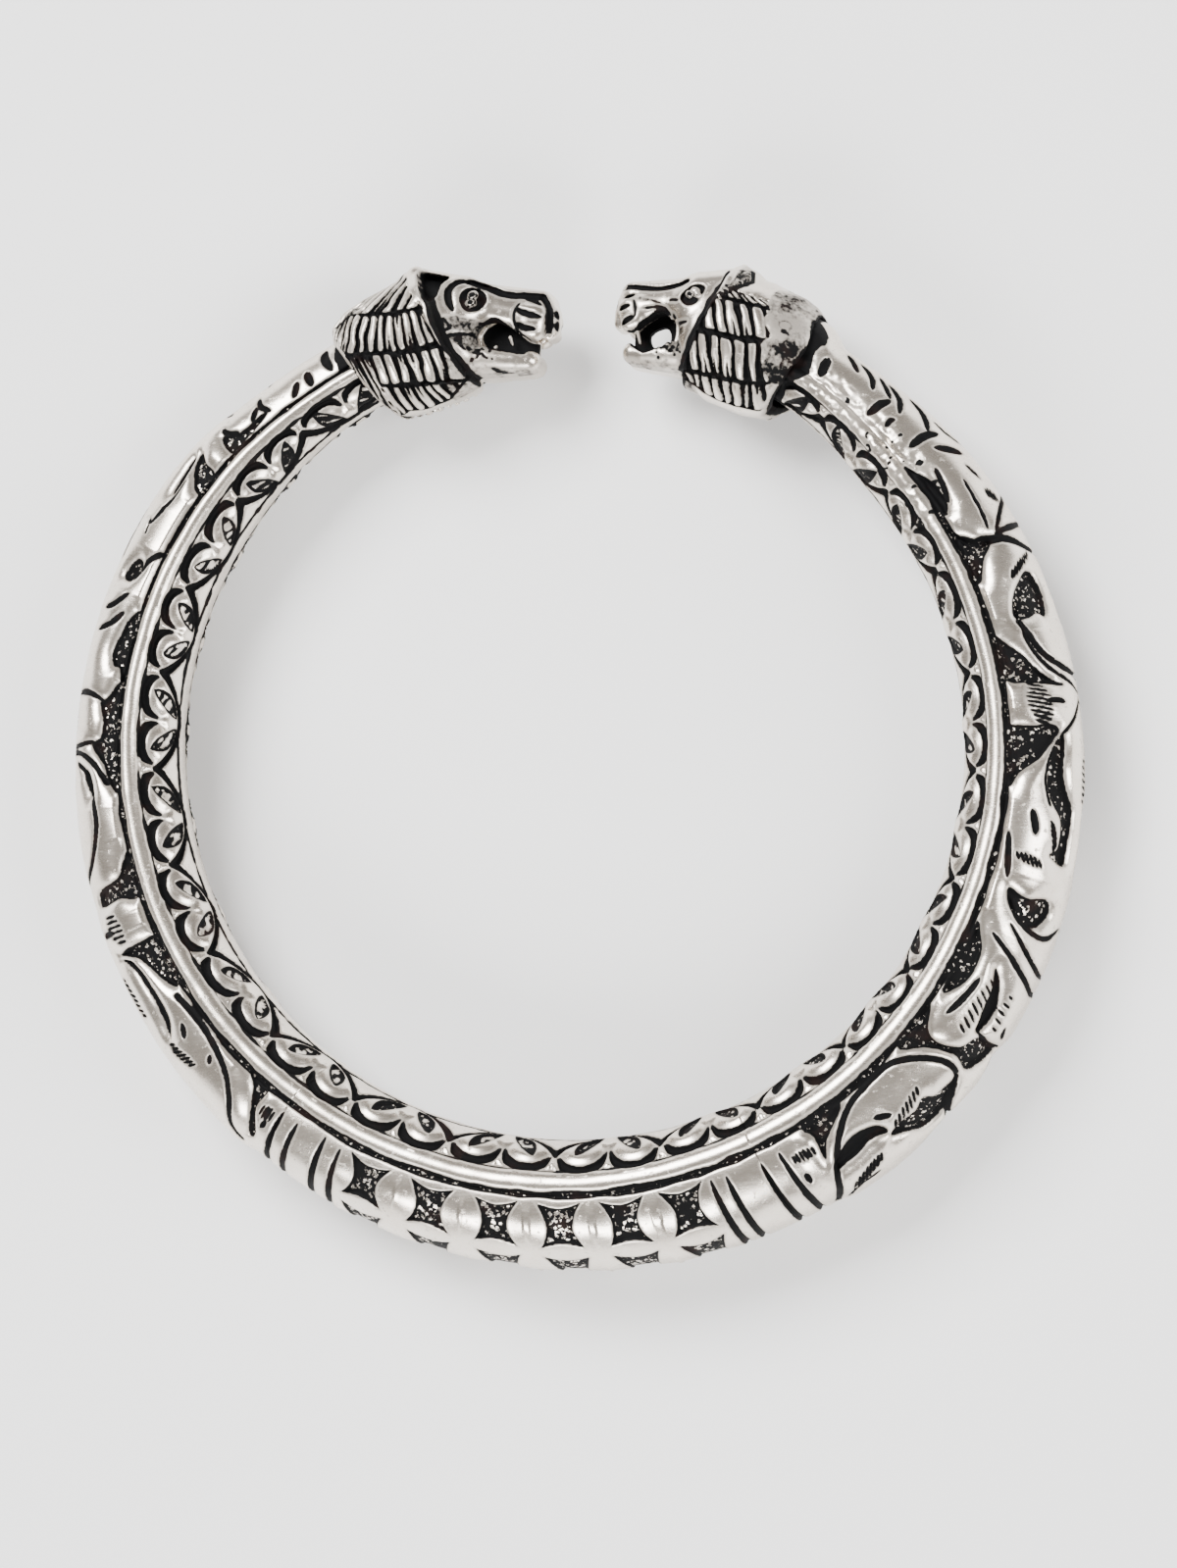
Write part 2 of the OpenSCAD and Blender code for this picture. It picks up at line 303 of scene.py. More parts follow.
RIGHT_MARKS = (
    # Leaf in a looped border, with its hollow and its two lobes
    Mark(E, ((30.4, -4), (31.6, 18), (33, 42), (35.5, 66), (39, 83), (43.5, 88), (47, 85),
             (50, 66), (51, 44), (49.6, 24), (47, 8), (46, -4)), 0.42),
    Mark(P, ((32.8, 56), (34.4, 72), (38.4, 90), (33, 91), (33.4, 80)), 0),
    Mark(H, ((33.2, 42), (35.5, 43), (38.6, 47), (40.4, 42), (39.8, 55), (37, 60), (34.6, 54)), 0),
    Mark(P, ((40.4, 36), (42, 26), (43.6, 12), (46, 8), (49.4, 20), (50.6, 30), (49, 30),
             (47, 33), (46, 42), (44.4, 38), (42, 40)), 0),
    Mark(L, ((32, 4), (33.5, 12), (36.6, 14)), 0.26),
    Mark(L, ((40.4, 62), (41.2, 59), (42.2, 55)), 0.5),
    Mark(L, ((29.8, 46), (29.9, 52), (29.9, 56)), 0.4),
    # Sunk wedge, then the fish-shaped leaf with its slit
    Mark(P, ((52.6, 14), (55, 4), (55.4, 34), (53.3, 46), (52.2, 66), (52.8, 82), (55.6, 94),
             (48.8, 92), (50.8, 74), (52.2, 48), (51.6, 26)), 0),
    Mark(L, ((55.8, 76), (58.4, 71), (61.4, 67)), 0.42),
    Mark(P, ((57.8, 90), (59.2, 80), (61.2, 75), (64, 76), (66.2, 84), (67.6, 91), (62.8, 93)), 0),
    Mark(H, ((55.8, 42), (57.3, 36), (59.4, 37), (61.6, 45), (63.3, 57), (61, 51), (57.8, 47)), 0),
    Mark(L, ((55.6, 4), (55.2, 20), (55.8, 40)), 0.4),
    Mark(L, ((62.6, -6), (62.6, 10), (64, 34), (65.6, 56), (67, 74)), 0.4),
    Mark(L, ((64.6, -6), (65, 16), (66.7, 42), (68.8, 62)), 0.34),
    Mark(L, ((70.4, 2), (68.6, 24), (69.4, 54), (71.8, 72)), 0.36),
    Mark(P, ((69.6, 32), (71.6, 22), (72.9, 32), (72.2, 54), (72.9, 74), (70.6, 66), (69.4, 48)), 0),
    Mark(L, ((56.6, 10), (57.2, 16), (57.8, 18)), 0.3),
    # Leaf with a scooped upper edge, the bud and the two long petals
    Mark(P, ((77.2, 18), (79.6, 16), (83.4, 14), (85.6, 28), (88, 34), (90.8, 30), (92, 34),
             (89.4, 48), (86, 53), (84, 46), (82, 32), (78.8, 31), (77.8, 40)), 0),
    Mark(L, ((79.8, 62), (81.2, 64), (82.6, 68)), 0.55),
    Mark(L, ((74, 78), (76.5, 82), (79.5, 86)), 0.4),
    Mark(E, ((97, -6), (94.6, 14), (92.4, 30), (89.5, 50), (86.4, 56), (83.6, 50)), 0.22),
    Mark(P, ((85.3, 92), (87, 83), (89, 62), (91.2, 46), (92.4, 38), (93, 48), (92.7, 66),
             (92.8, 84), (92.2, 94)), 0),
    Mark(L, ((95.6, 32), (95.7, 42), (95.6, 54)), 0.4),
    Mark(L, ((97.6, 30), (98, 56), (98.3, 86)), 0.26),
    Mark(P, ((98, 40), (99, 52), (101.2, 68), (102.8, 82), (104.2, 94), (99.4, 94), (98.2, 82)), 0),
    Mark(E, ((96.8, -6), (98.6, 30), (100.2, 50), (102.8, 62), (105.2, 62), (108, 60)), 0.2),
    Mark(E, ((98.8, -6), (99.6, 26), (101.4, 50), (105.2, 64)), 0.42),
    Mark(P, ((105.9, 24), (108.4, 14), (110.6, 18), (111.2, 30), (110, 46), (108.4, 60),
             (106.1, 66), (105.6, 54), (106.2, 38)), 0),
    Mark(P, ((111.4, 88), (113.4, 78), (115, 63), (115.9, 56), (116.3, 72), (117.8, 92),
             (115.8, 97), (111.8, 96)), 0),
    Mark(L, ((113.3, -6), (114, 20), (115.3, 44), (115.9, 64), (116.4, 84), (119, 96)), 0.62),
    Mark(L, ((117.2, -4), (116.5, 30), (116.2, 50)), 0.4),
    # Lobed leaf and the ticks of the neck
    Mark(L, ((121, -2), (118.6, 30), (116.6, 48)), 0.3),
    Mark(L, ((117, 56), (119.6, 53), (123.4, 50)), 0.26),
    Mark(H, ((121, 88), (122.3, 80), (125, 80), (127.2, 88), (128.6, 96), (122.4, 95)), 0),
    Mark(L, ((122, 78), (124, 73), (126.2, 69)), 0.34),
    Mark(L, ((126.6, 26), (127.3, 38), (128.4, 54)), 0.62),
    Mark(L, ((129.8, 36), (130.2, 54), (130.1, 76)), 0.66),
    Mark(L, ((134, 66), (134.2, 72), (134, 80)), 0.4),
    Mark(L, ((136.2, 50), (136.6, 66), (136.7, 86)), 0.62),
    Mark(L, ((135.2, 20), (132.6, 30), (130.6, 45)), 0.5),
    Mark(L, ((138, 26), (135.8, 38), (134.2, 56)), 0.44),
    Mark(L, ((139.4, 26), (137.8, 38), (136.4, 48)), 0.36),
    Mark(L, ((142, 28), (140, 38), (138.6, 55)), 0.44),
    Mark(L, ((143.8, 28), (142.6, 38), (141.4, 48)), 0.4),
    Mark(L, ((128, 12), (129.6, 22), (131.4, 24)), 0.3),
    Mark(L, ((145, 58), (144.8, 72), (144.4, 88)), 0.7),
)

RIGHT_HATCHINGS = (
    Hatching((33.2, 17), (38.2, 29), 8, (0.9, 11)),
    Hatching((41.4, 44), (46.6, 54), 7, (0.7, 9)),
    Hatching((29.5, 72), (32.6, 70), 6, (0.1, 8)),
    Hatching((54.8, 58), (62, 54), 8, (0.7, 9), 0.14),
    Hatching((56.6, 28), (61.6, 32), 5, (0.2, 6)),
    Hatching((78.4, 38), (81.6, 46), 6, (0.7, 7)),
    Hatching((76.5, 50), (76.9, 76), 6, (1.0, 4)),
    Hatching((92.9, 57), (97.8, 62), 9, (0.5, 21), 0.14),
    Hatching((113, 22), (110.8, 56), 7, (1.2, -5)),
    Hatching((120.3, 20), (121.2, 34), 4, (1.2, -2)),
    Hatching((123.4, 28), (124.6, 34), 3, (1.3, 3)),
    Hatching((84.4, -2), (89.6, -2), 7, (0.3, 16)),
)

LEFT_MARKS = (
    # Loop round the leaf beside the cross-grooves
    Mark(E, ((-41.4, 24), (-43, 34), (-44.6, 60), (-47.4, 78), (-52, 87), (-56, 87), (-58.4, 84)), 0.42),
    Mark(P, ((-44.8, 94), (-43.2, 84), (-41.8, 64), (-40.6, 36), (-40, 46), (-41.4, 70),
             (-41.6, 94)), 0),
    Mark(H, ((-66.4, 34), (-64.4, 50), (-60.6, 56), (-57.4, 53), (-55.4, 46), (-57, 60),
             (-61, 62), (-65, 54)), 0),
    Mark(L, ((-55.2, 73), (-54.4, 70), (-53.6, 66)), 0.45),
    Mark(L, ((-49.8, 76), (-49.4, 72), (-49.2, 69)), 0.3),
    Mark(L, ((-39.6, 56), (-39.4, 61), (-39.4, 66)), 0.36),
    Mark(P, ((-67, 36), (-65.6, 60), (-63.4, 72), (-61, 80), (-59.6, 88), (-61, 95), (-66.4, 94),
             (-66.8, 74)), 0),
    Mark(L, ((-69.8, 26), (-69.6, 38), (-69.4, 50)), 0.4),
    Mark(P, ((-74.8, 34), (-73.4, 28), (-72.9, 50), (-73, 70), (-72.2, 90), (-74, 95), (-78.4, 94),
             (-77.2, 84), (-75.4, 72)), 0),
    # Great round petal in its border
    Mark(E, ((-91.8, 22), (-91.6, 44), (-90, 66), (-87.6, 80)), 0.34),
    Mark(E, ((-76.6, 24), (-77.8, 44), (-80, 58), (-83.2, 66), (-86.4, 60), (-89, 46),
             (-90.4, 34)), 0.4),
    Mark(P, ((-89.8, 38), (-88.4, 44), (-86.2, 58), (-88, 58), (-89.4, 50)), 0),
    # Pillars with the sunk ground between them
    Mark(P, ((-100.6, 88), (-98.6, 76), (-98, 66), (-96.8, 70), (-95.2, 74), (-93.4, 70),
             (-92.6, 58), (-91.6, 64), (-90, 76), (-87.4, 84), (-87.2, 95), (-100, 97)), 0),
    Mark(L, ((-92.6, 18), (-92.6, 40), (-93, 60)), 0.36),
    Mark(L, ((-99, 22), (-99, 50), (-98.2, 70)), 0.42),
    Mark(P, ((-109.8, 94), (-108.8, 82), (-106.6, 76), (-104.4, 71), (-102.8, 76), (-102.4, 86),
             (-100, 92), (-101.6, 98)), 0),
    Mark(L, ((-109.6, 44), (-110.2, 58), (-112, 74)), 0.5),
    Mark(L, ((-106.8, 44), (-107.8, 62), (-109.6, 75)), 0.46),
    Mark(L, ((-118.4, 92), (-116.6, 80), (-113.8, 70)), 0.42),
    Mark(P, ((-116, 54), (-113.9, 47), (-113.6, 64), (-115.4, 73), (-116.4, 66)), 0),
    Mark(L, ((-127.8, 66), (-124, 65), (-121, 58)), 0.34),
    Mark(H, ((-130.6, 44), (-127.6, 50), (-125.4, 58), (-127.6, 58), (-129.8, 52)), 0),
    Mark(P, ((-131.6, 50), (-130, 57), (-128.6, 70), (-127.4, 86), (-127.8, 97), (-130.6, 91),
             (-130.9, 70)), 0),
    Mark(P, ((-140.8, 78), (-137.2, 77), (-136, 70), (-134.7, 60), (-134.2, 89), (-137.2, 89),
             (-140, 84)), 0),
    Mark(L, ((-141.2, 50), (-140.8, 66), (-141.4, 81)), 0.44),
    Mark(L, ((-140.2, 62), (-139.6, 69), (-138.8, 75)), 0.4),
    Mark(L, ((-135.4, 50), (-135.6, 63), (-136.6, 73)), 0.4),
    Mark(L, ((-147.8, 62), (-147.7, 74), (-147.6, 88)), 0.62),
    Mark(L, ((-146.2, 68), (-145.6, 78), (-144.8, 87)), 0.5),
    Mark(L, ((-151, 40), (-150.6, 60), (-150.8, 84)), 0.7),
    Mark(L, ((-145, 10), (-143.6, 22), (-143, 34)), 0.44),
    Mark(L, ((-138, 10), (-137, 24), (-137.4, 38)), 0.4),
    Mark(L, ((-124, 20), (-120, 30), (-116, 30)), 0.36),
)

LEFT_HATCHINGS = (
    Hatching((-54.6, 46), (-50.4, 54), 7, (0.7, 10)),
    Hatching((-64.6, 28), (-59, 34), 8, (0.6, 9)),
    Hatching((-71.6, 52), (-67.6, 54), 6, (0.3, 16)),
    Hatching((-40.7, 72), (-38.8, 73), 4, (0.05, 12)),
    Hatching((-121.4, 54), (-119.8, 58), 3, (1.0, 2)),
    Hatching((-97.4, 20), (-94, 20), 6, (0.05, 14)),
)

# Where each cross-groove lies round the ring, and where it stops round the section
CROSS_CUTS = ((-38.0, 84), (-35.7, 83), (-31.7, 87), (-29.3, 84), (19.4, 85), (21.4, 84), (26.0, 82),
              (28.6, 83))
STARS = (-25.0, -16.6, -8.3, -0.3, 7.7, 15.4)
LEFT_NECK = ((40, 0.75), (50, 0.6), (77, 0.2), (94, 0.15))
RIGHT_NECK = ((0, 2.3), (25, 2.2), (34, 0.8), (50, 0.65), (63, 0.95), (80, 0.6), (94, 0.3), (103, 0.5),
              (111, 0.95), (125, 1.4), (160, 1.5), (180, 1.3))
HEART_EDGES = (-156.5, -142.7, -129.8, -115.7, -103.3, -89.6, -75.5, -61.9, -46.7, -31.8, -16.7,
               -1.3, 14.0, 28.8, 43.8, 57.7, 72.1, 87.3, 100.8, 115.6, 128.3, 141.7, 155.0)


@dataclass(frozen=True)
class Star:
    """A row of concave stars: its place round the section, its half sizes and how deep it lies.

    Angles are in degrees round the section and widths in millimetres.
    """

    up: float
    high: float
    wide: float
    waist: float
    sunk: float


STAR_ROWS = (Star(66.0, 21.0, 1.62, 0.92, 1.0), Star(0.0, 32.0, 1.66, 1.05, 0.5))


@dataclass(frozen=True)
class Heart:
    """The hearts of the wrist side, in half lengths along the row and degrees round the section.

    Each has two round lobes under a black crescent, black flanks that meet at its foot, and two
    seeds that lean together.
    """

    lobe_at: float = 0.5
    lobe_tall: float = 20.0
    outer_arc: tuple[float, float] = (0.53, 134.5)
    inner_arc: tuple[float, float] = (0.45, 143.0)
    arc_stop: float = 140.0
    foot_at: float = 167.0
    foot_rise: float = 32.0
    seed_at: tuple[float, float] = (0.41, 146.5)
    seed_turn: float = 38.0
    seed_long_mm: float = 1.42
    seed_wide_mm: float = 0.56
    worn_between: tuple[float, float] = (-125.0, -25.0)


HEART = Heart()


@dataclass
class Chasing:
    """Relief on a stretch of the tube, worked out mark by mark.

    The dark field is the distance in millimetres into the nearest blackened recess, and is
    negative on bright metal; stipple is 1 where the ground is punched.
    """

    b: Array
    up: Array
    ridge_rise: float = 0.45
    ridge_at: float = 106.0
    ridge_half: float = 11.0
    outer_groove_at: float = 94.6
    inner_groove_at: float = 115.6
    wrist_line_at: float = 167.5
    heart_rise: float = 0.2
    seed_deep: float = 0.24
    lobe_rise: float = 0.08
    star_pitch: float = 5.45
    leaf_rise: float = 0.55
    ground_deep: float = 0.34
    groove_deep: float = 0.24
    dent_deep: float = 0.035
    seed: int = 7
    rise: Array = field(init=False)
    dark: Array = field(init=False)
    ground: Array = field(init=False)
    stipple: Array = field(init=False)

    def __post_init__(self) -> None:
        """Prepare the empty fields and the local scales of the map."""
        self.a = np.abs(self.up)
        half = TUBE.width(self.b) / 2
        self.sx = (TUBE.middle_r(self.b) + half * np.cos(np.radians(self.up))) * math.pi / 180
        self.sy = np.broadcast_to(half * 1.06 * math.pi / 180, self.sx.shape)
        shape = self.sx.shape
        self.B = np.broadcast_to(self.b, shape)
        self.A = np.broadcast_to(self.a, shape)
        self.shake = 0.045 * wander(self.B * 0.65, self.up * 0.078, 0.7, self.seed)
        self.rise = np.zeros(shape)
        self.dark = np.full(shape, -1.0)
        self.ground = np.full(shape, -2.0)
        self.stipple = np.zeros(shape)

    def window(self, lo: float, hi: float, margin: float = 1.6) -> slice:
        """Rows of the map between two angles round the ring, and a margin beside them."""
        rows = self.b[:, 0]
        return slice(int(np.searchsorted(rows, lo - margin)), int(np.searchsorted(rows, hi + margin)))

    def reach(self, line: Array, rows: slice, closed: bool) -> tuple[Array, Array, Array]:
        """Distance from each point of some rows to a line.

        Args:
            line: Points of the line, in map angles.
            rows: Rows of the map to look at.
            closed: True for an outline.

        Returns:
            The distance in millimetres, the place along the line from 0 to 1, and whether
            the point is inside the outline.
        """
        sx, sy = self.sx[rows], self.sy[rows]
        px, py = self.B[rows], self.A[rows]
        best = np.full(sx.shape, FAR_MM)
        place = np.zeros(sx.shape)
        inside = np.zeros(sx.shape, bool)
        n = len(line)
        for k in range(n if closed else n - 1):
            p, q = line[k], line[(k + 1) % n]
            ax, ay = (p[0] - px) * sx, (p[1] - py) * sy
            ex, ey = (q[0] - p[0]) * sx, (q[1] - p[1]) * sy
            t = np.clip(-(ax * ex + ay * ey) / (ex * ex + ey * ey + TINY), 0, 1)
            d = np.hypot(ax + t * ex, ay + t * ey)
            nearer = d < best
            best = np.where(nearer, d, best)
            place = np.where(nearer, (k + t) / (n - 1), place)
            if closed and p[1] != q[1]:
                crosses = (p[1] > py) != (q[1] > py)
                at = p[0] + (py - p[1]) * (q[0] - p[0]) / (q[1] - p[1])
                inside ^= crosses & (px < at)
        return best, place, inside

    def cut(self, mark: Mark) -> None:
        """Cut one mark into the map.

        Args:
            mark: The mark.
        """
        closed = mark.tool in (Tool.PUNCH, Tool.HOLLOW)
        line = rounded(mark.points, closed)
        rows = self.window(line[:, 0].min(), line[:, 0].max())
        if rows.stop <= rows.start:
            return
        d, place, inside = self.reach(line, rows, closed)
        if closed:
            deep = np.where(inside, d, -d) + self.shake[rows]
            self.ground[rows] = np.maximum(self.ground[rows], deep)
            if mark.tool is Tool.PUNCH:
                self.stipple[rows] = np.maximum(self.stipple[rows], ease(deep / 0.15))
        else:
            deep = mark.width / 2 * taper(mark.tool, place) - d + 0.6 * self.shake[rows]
            self.rise[rows] -= self.groove_deep * ease(deep / (0.4 * mark.width + 0.05) + 0.35)
        self.dark[rows] = np.maximum(self.dark[rows], deep)

    def hatch(self, row: Hatching) -> None:
        """Cut a row of short parallel lines, the middle ones the longest.

        Args:
            row: The row.
        """
        for i in range(row.count):
            t = (i + 0.5) / row.count
            at = [row.start[k] + (row.end[k] - row.start[k]) * t for k in (0, 1)]
            grow = 0.7 + 0.6 * math.sin(math.pi * t)
            ends = [tuple(at[k] + s * row.slant[k] * grow / 2 for k in (0, 1)) for s in (-1, 1)]
            middle = tuple((ends[0][k] + ends[1][k]) / 2 for k in (0, 1))
            self.cut(Mark(Tool.LINER, (ends[0], middle, ends[1]), row.width))

    def leaves(self) -> None:
        """Swell the metal that stands between the sunk grounds."""
        beside_front = np.where(self.B > 0, ease((self.B - 30) / 3), ease((-self.B - 39) / 3))
        before_head = np.where(self.B > 0, ease((140 - self.B) / 12), ease((142 + self.B) / 12))
        share = ease((92 - self.A) / 6) * (beside_front * before_head)
        away = np.clip(-self.ground, 0, 2.0)
        swell = 1 - np.exp(-away / 0.55)
        self.rise += share * (self.leaf_rise * swell - 0.22)
        self.rise -= self.ground_deep * ease(self.ground / 0.22 + 0.3)

    def stars(self) -> None:
        """Two rows of concave stars with swollen lobes between them."""
        for at in STARS:
            rows = self.window(at - 4.2, at + 4.2)
            x = (self.B[rows] - at) * self.sx[rows]
            own = np.abs(x) < self.star_pitch / 2
            lobe = ease(1 - (self.star_pitch / 2 - np.abs(x)) / 1.9)
            for star in STAR_ROWS:
                y = (self.A[rows] - star.up) / star.high
                bow = np.abs(y) ** 1.7
                side = star.waist + (star.wide - star.waist) * bow - np.abs(x)
                cap = (1 - np.abs(y)) * star.high * self.sy[rows]
                cap = cap - 0.42 * (1 - np.clip(np.abs(x) / star.wide, 0, 1) ** 1.7)
                deep = np.minimum(side, cap) + self.shake[rows]
                self.dark[rows] = np.maximum(self.dark[rows], deep)
                self.stipple[rows] = np.maximum(self.stipple[rows], 1.6 * ease(deep / 0.2))
                self.rise[rows] -= star.sunk * self.ground_deep * ease(deep / 0.2 + 0.3)
                self.rise[rows] += self.lobe_rise * ease(1 - np.abs(y)) * lobe * own

    def cross_grooves(self) -> None:
        """The paired grooves beside the stars, each tapered towards the ridge."""
        for at, stop in CROSS_CUTS:
            self.cut(Mark(Tool.LINER, ((at, -stop), (at + 0.1, 0), (at, stop)), 0.5))

    def rim(self) -> None:
        """The plain ridge between its black grooves."""
        drift = 1.3 * wander(self.B, self.B * 0, 9.0, self.seed + 1)
        self.rise += self.ridge_rise * np.clip(
            1 - np.abs((self.A - self.ridge_at - 0.5 * drift) / self.ridge_half) ** 2.3, 0, 1)
        wide = 2.6 + 1.0 * wander(self.B, self.B * 0, 2.6, self.seed + 2)
        outer = (wide - np.abs(self.A - self.outer_groove_at - 0.6 * drift)) * self.sy + 0.5 * self.shake
        outer = outer - 0.4 * ease((self.B - 121) / 5)
        inner = 0.07 + 0.09 * wander(self.B, self.B * 0, 1.7, self.seed + 3)
        inner = inner - np.abs(self.A - self.inner_groove_at - 0.5 * drift) * self.sy
        self.dark = np.maximum(self.dark, np.maximum(outer, inner))
        self.stipple = np.where(outer > 0, 0.8, self.stipple)
        self.rise -= self.groove_deep * ease(outer / 0.2 + 0.4)

    def hearts(self) -> None:
        """The row of hearts along the wrist side, and the line below it."""
        for number, (lo, hi) in enumerate(zip(HEART_EDGES, HEART_EDGES[1:])):
            rows = self.window(lo, hi)
            if rows.stop > rows.start:
                self.heart(number, lo, hi, rows)
        line = 0.15 - np.abs(self.A - self.wrist_line_at) * self.sy + 2.2 * self.shake
        self.dark = np.maximum(self.dark, np.where(self.A > 160, line, -1))
        self.rise -= 0.12 * ease(line / 0.1 + 0.5) * (self.A > 160)

    def heart(self, number: int, lo: float, hi: float, rows: slice) -> None:
        """One heart.

        Args:
            number: Its place in the row, which varies its size.
            lo: Where it begins round the ring.
            hi: Where it stops.
            rows: Rows of the map to work on.
        """
        a, sy = self.A[rows], self.sy[rows]
        u = (self.B[rows] - (lo + hi) / 2) / ((hi - lo) / 2)
        here = np.abs(u) <= 1.0
        off = np.abs(u) - HEART.lobe_at
        tall = HEART.lobe_tall + 1.6 * math.sin(2.4 * number)
        outer, inner = (np.sqrt((off / wide) ** 2 + ((a - up) / tall) ** 2)
                        for wide, up in (HEART.outer_arc, HEART.inner_arc))
        crescent = np.minimum((1 - outer) * (tall * sy), (inner - 1) * (tall * sy))
        crescent = np.minimum(crescent, (HEART.arc_stop - a) * sy)
        crescent = crescent - 0.22 * ease(1 - np.abs(u) / 0.1)
        crescent = crescent - 0.3 * ease((np.abs(u) - 0.86) / 0.1)
        foot = HEART.foot_at - HEART.foot_rise * np.clip(np.abs(u), 0, 1) ** 1.8
        thick = 0.19 + 0.2 * np.abs(u) ** 3 + 0.05 * np.sin(3.3 * number + 4 * u)
        flank = thick - np.abs(a - foot - 1.5) * sy * 0.8
        flank = np.where(a > 131, flank, -1.0)
        border = np.maximum(crescent, flank)
        inside, grain = self.heart_seeds(number, lo, hi, rows)
        dark = np.maximum(border, np.where(inside > -0.3, grain, -1)) + self.shake[rows] * 0.6
        within = here & (outer < 1.15) | here & (a > 130) & (a < foot)
        puff = np.clip(np.minimum(-crescent / 0.7, (foot - a) * sy / 0.7), 0, 1)
        self.rise[rows] += np.where(within, self.heart_rise * ease(puff), 0)
        self.rise[rows] -= self.seed_deep * ease(inside / 0.2) * here
        self.rise[rows] -= np.where(here, self.groove_deep * 1.2 * ease(border / 0.22 + 0.35), 0)
        self.dark[rows] = np.where(here, np.maximum(self.dark[rows], dark), self.dark[rows])
        self.stipple[rows] = np.where(here & (inside > 0.12), 0.6, self.stipple[rows])

    def heart_seeds(self, number: int, lo: float, hi: float, rows: slice) -> tuple[Array, Array]:
        """The two sunk seeds of a heart: a black rim round ground that is buffed in places.

        Args:
            number: The heart's place in the row.
            lo: Where the heart begins round the ring.
            hi: Where it stops.
            rows: Rows of the map to work on.

        Returns:
            Distance into the nearer seed, and into its black parts.
        """
        b, a, sx, sy = self.B[rows], self.A[rows], self.sx[rows], self.sy[rows]
        middle, half = (lo + hi) / 2, (hi - lo) / 2
        u = (b - middle) / half
        side = np.where(u > 0, 1.0, -1.0)
        x = (u - side * HEART.seed_at[0]) * half * sx
        y = (a - HEART.seed_at[1]) * sy
        turn = math.radians(HEART.seed_turn)
        across = side * x * math.cos(turn) + y * math.sin(turn)
        along = -side * x * math.sin(turn) + y * math.cos(turn)
        size = 1.0 + 0.1 * math.sin(5.1 * number + 1)
        wide = HEART.seed_wide_mm * np.clip(1 - (along / (HEART.seed_long_mm * size)) ** 2, 0, 1) ** 0.7
        inside = wide - np.abs(across + 0.08 * along * along)
        inside = np.where(np.abs(along) < 1.5 * size, inside, -0.4)
        first, last = HEART.worn_between
        black = -0.25 if first <= middle <= last else 0.2
        fill = 0.3 * (wander(b * sx, a * sy, 0.34, self.seed + 60) + black)
        return inside, np.minimum(inside, np.where(inside > 0.2, fill, 0.22 - inside))

    def neck(self, end: float, black: Points, face: tuple[float, float], flare: float = 0.0) -> None:
        """Blacken the tube where it goes into a head.

        Args:
            end: The tube's end, round the ring.
            black: Places round the section, and how far past the end the black begins there.
            face: Where the patch begins and stops round the section.
            flare: How much the outer side widens towards the head.
        """
        past = (self.B - end) * math.copysign(1, end) * self.sx
        deep = past - look_up(black, self.A) + 2.5 * self.shake
        deep = np.minimum(deep, (self.A - face[0]) * self.sy)
        deep = np.minimum(deep, (face[1] - self.A) * self.sy)
        self.dark = np.maximum(self.dark, deep)
        self.rise += flare * ease((past + 0.4) / 2.4) * ease((75 - self.A) / 30)

    def scuff(self, lo: tuple[float, float], hi: tuple[float, float], rough_mm: float) -> None:
        """Leave a stretch half melted, lumpy and spotted, as a clumsy solder repair does.

        Args:
            lo: First angle round the ring and round the section.
            hi: Last angle round the ring and round the section.
            rough_mm: Height of the lumps.
        """
        share = (ease((self.B - lo[0]) / 7) * ease((hi[0] - self.B) / 7)
                 * ease((self.A - lo[1]) / 14) * ease((hi[1] - self.A) / 14))
        x, y = self.B * 0.62, self.up * 0.062
        lumps = wander(x, y, 0.8, 51) + 0.7 * wander(x, y, 0.34, 52)
        self.rise += rough_mm * share * lumps
        spots = 0.5 * (wander(x, y, 0.62, 53) + 0.6 * wander(x, y, 0.27, 54) - 0.92)
        self.dark = np.maximum(self.dark, np.where(share > 0.4, spots, -1))
        self.dark = np.maximum(self.dark, -0.35 + 0.12 * share * (1 + wander(x, y, 1.9, 55)))

    def work(self) -> None:
        """Cut everything on this stretch, in the chaser's order."""
        lo, hi = float(self.b[0, 0]) - 2, float(self.b[-1, 0]) + 2
        for mark in LEFT_MARKS + RIGHT_MARKS:
            if any(lo < p[0] < hi for p in mark.points):
                self.cut(mark)
        self.leaves()
        for row in LEFT_HATCHINGS + RIGHT_HATCHINGS:
            if lo < row.start[0] < hi:
                self.hatch(row)
        self.stars()
        self.cross_grooves()
        self.rim()
        self.hearts()
        self.scuff((117, 66), (152, 134), 0.085)
        self.neck(TUBE.left_end, LEFT_NECK, (44, 93))
        self.neck(TUBE.right_end, RIGHT_NECK, (0, 199), 1.0)
        x, y = self.B * 0.65, self.up * 0.078
        self.rise += self.dent_deep * (wander(x, y, 3.1, 31) + 0.5 * wander(x, y, 1.3, 32))


# Finishes

def add_node(tree: bpy.types.NodeTree, kind: str, feeds: dict | None = None,
             **settings: object) -> bpy.types.Node:
    """Add a node.

    Args:
        tree: The material's tree.
        kind: Blender's name of the node's type.
        feeds: Input name or number to what feeds it: a plain value, a socket, or a node,
            which feeds it through its first output in use.
        settings: Attributes of the node.

    Returns:
        The new node.
    """
    made = tree.nodes.new(kind)
    for key, value in settings.items():
        setattr(made, key, value)
    for key, value in (feeds or {}).items():
        if isinstance(value, bpy.types.Node):
            value = next(out for out in value.outputs if out.enabled)
        if isinstance(value, bpy.types.NodeSocket):
            tree.links.new(value, made.inputs[key])
        else:
            made.inputs[key].default_value = value
    return made


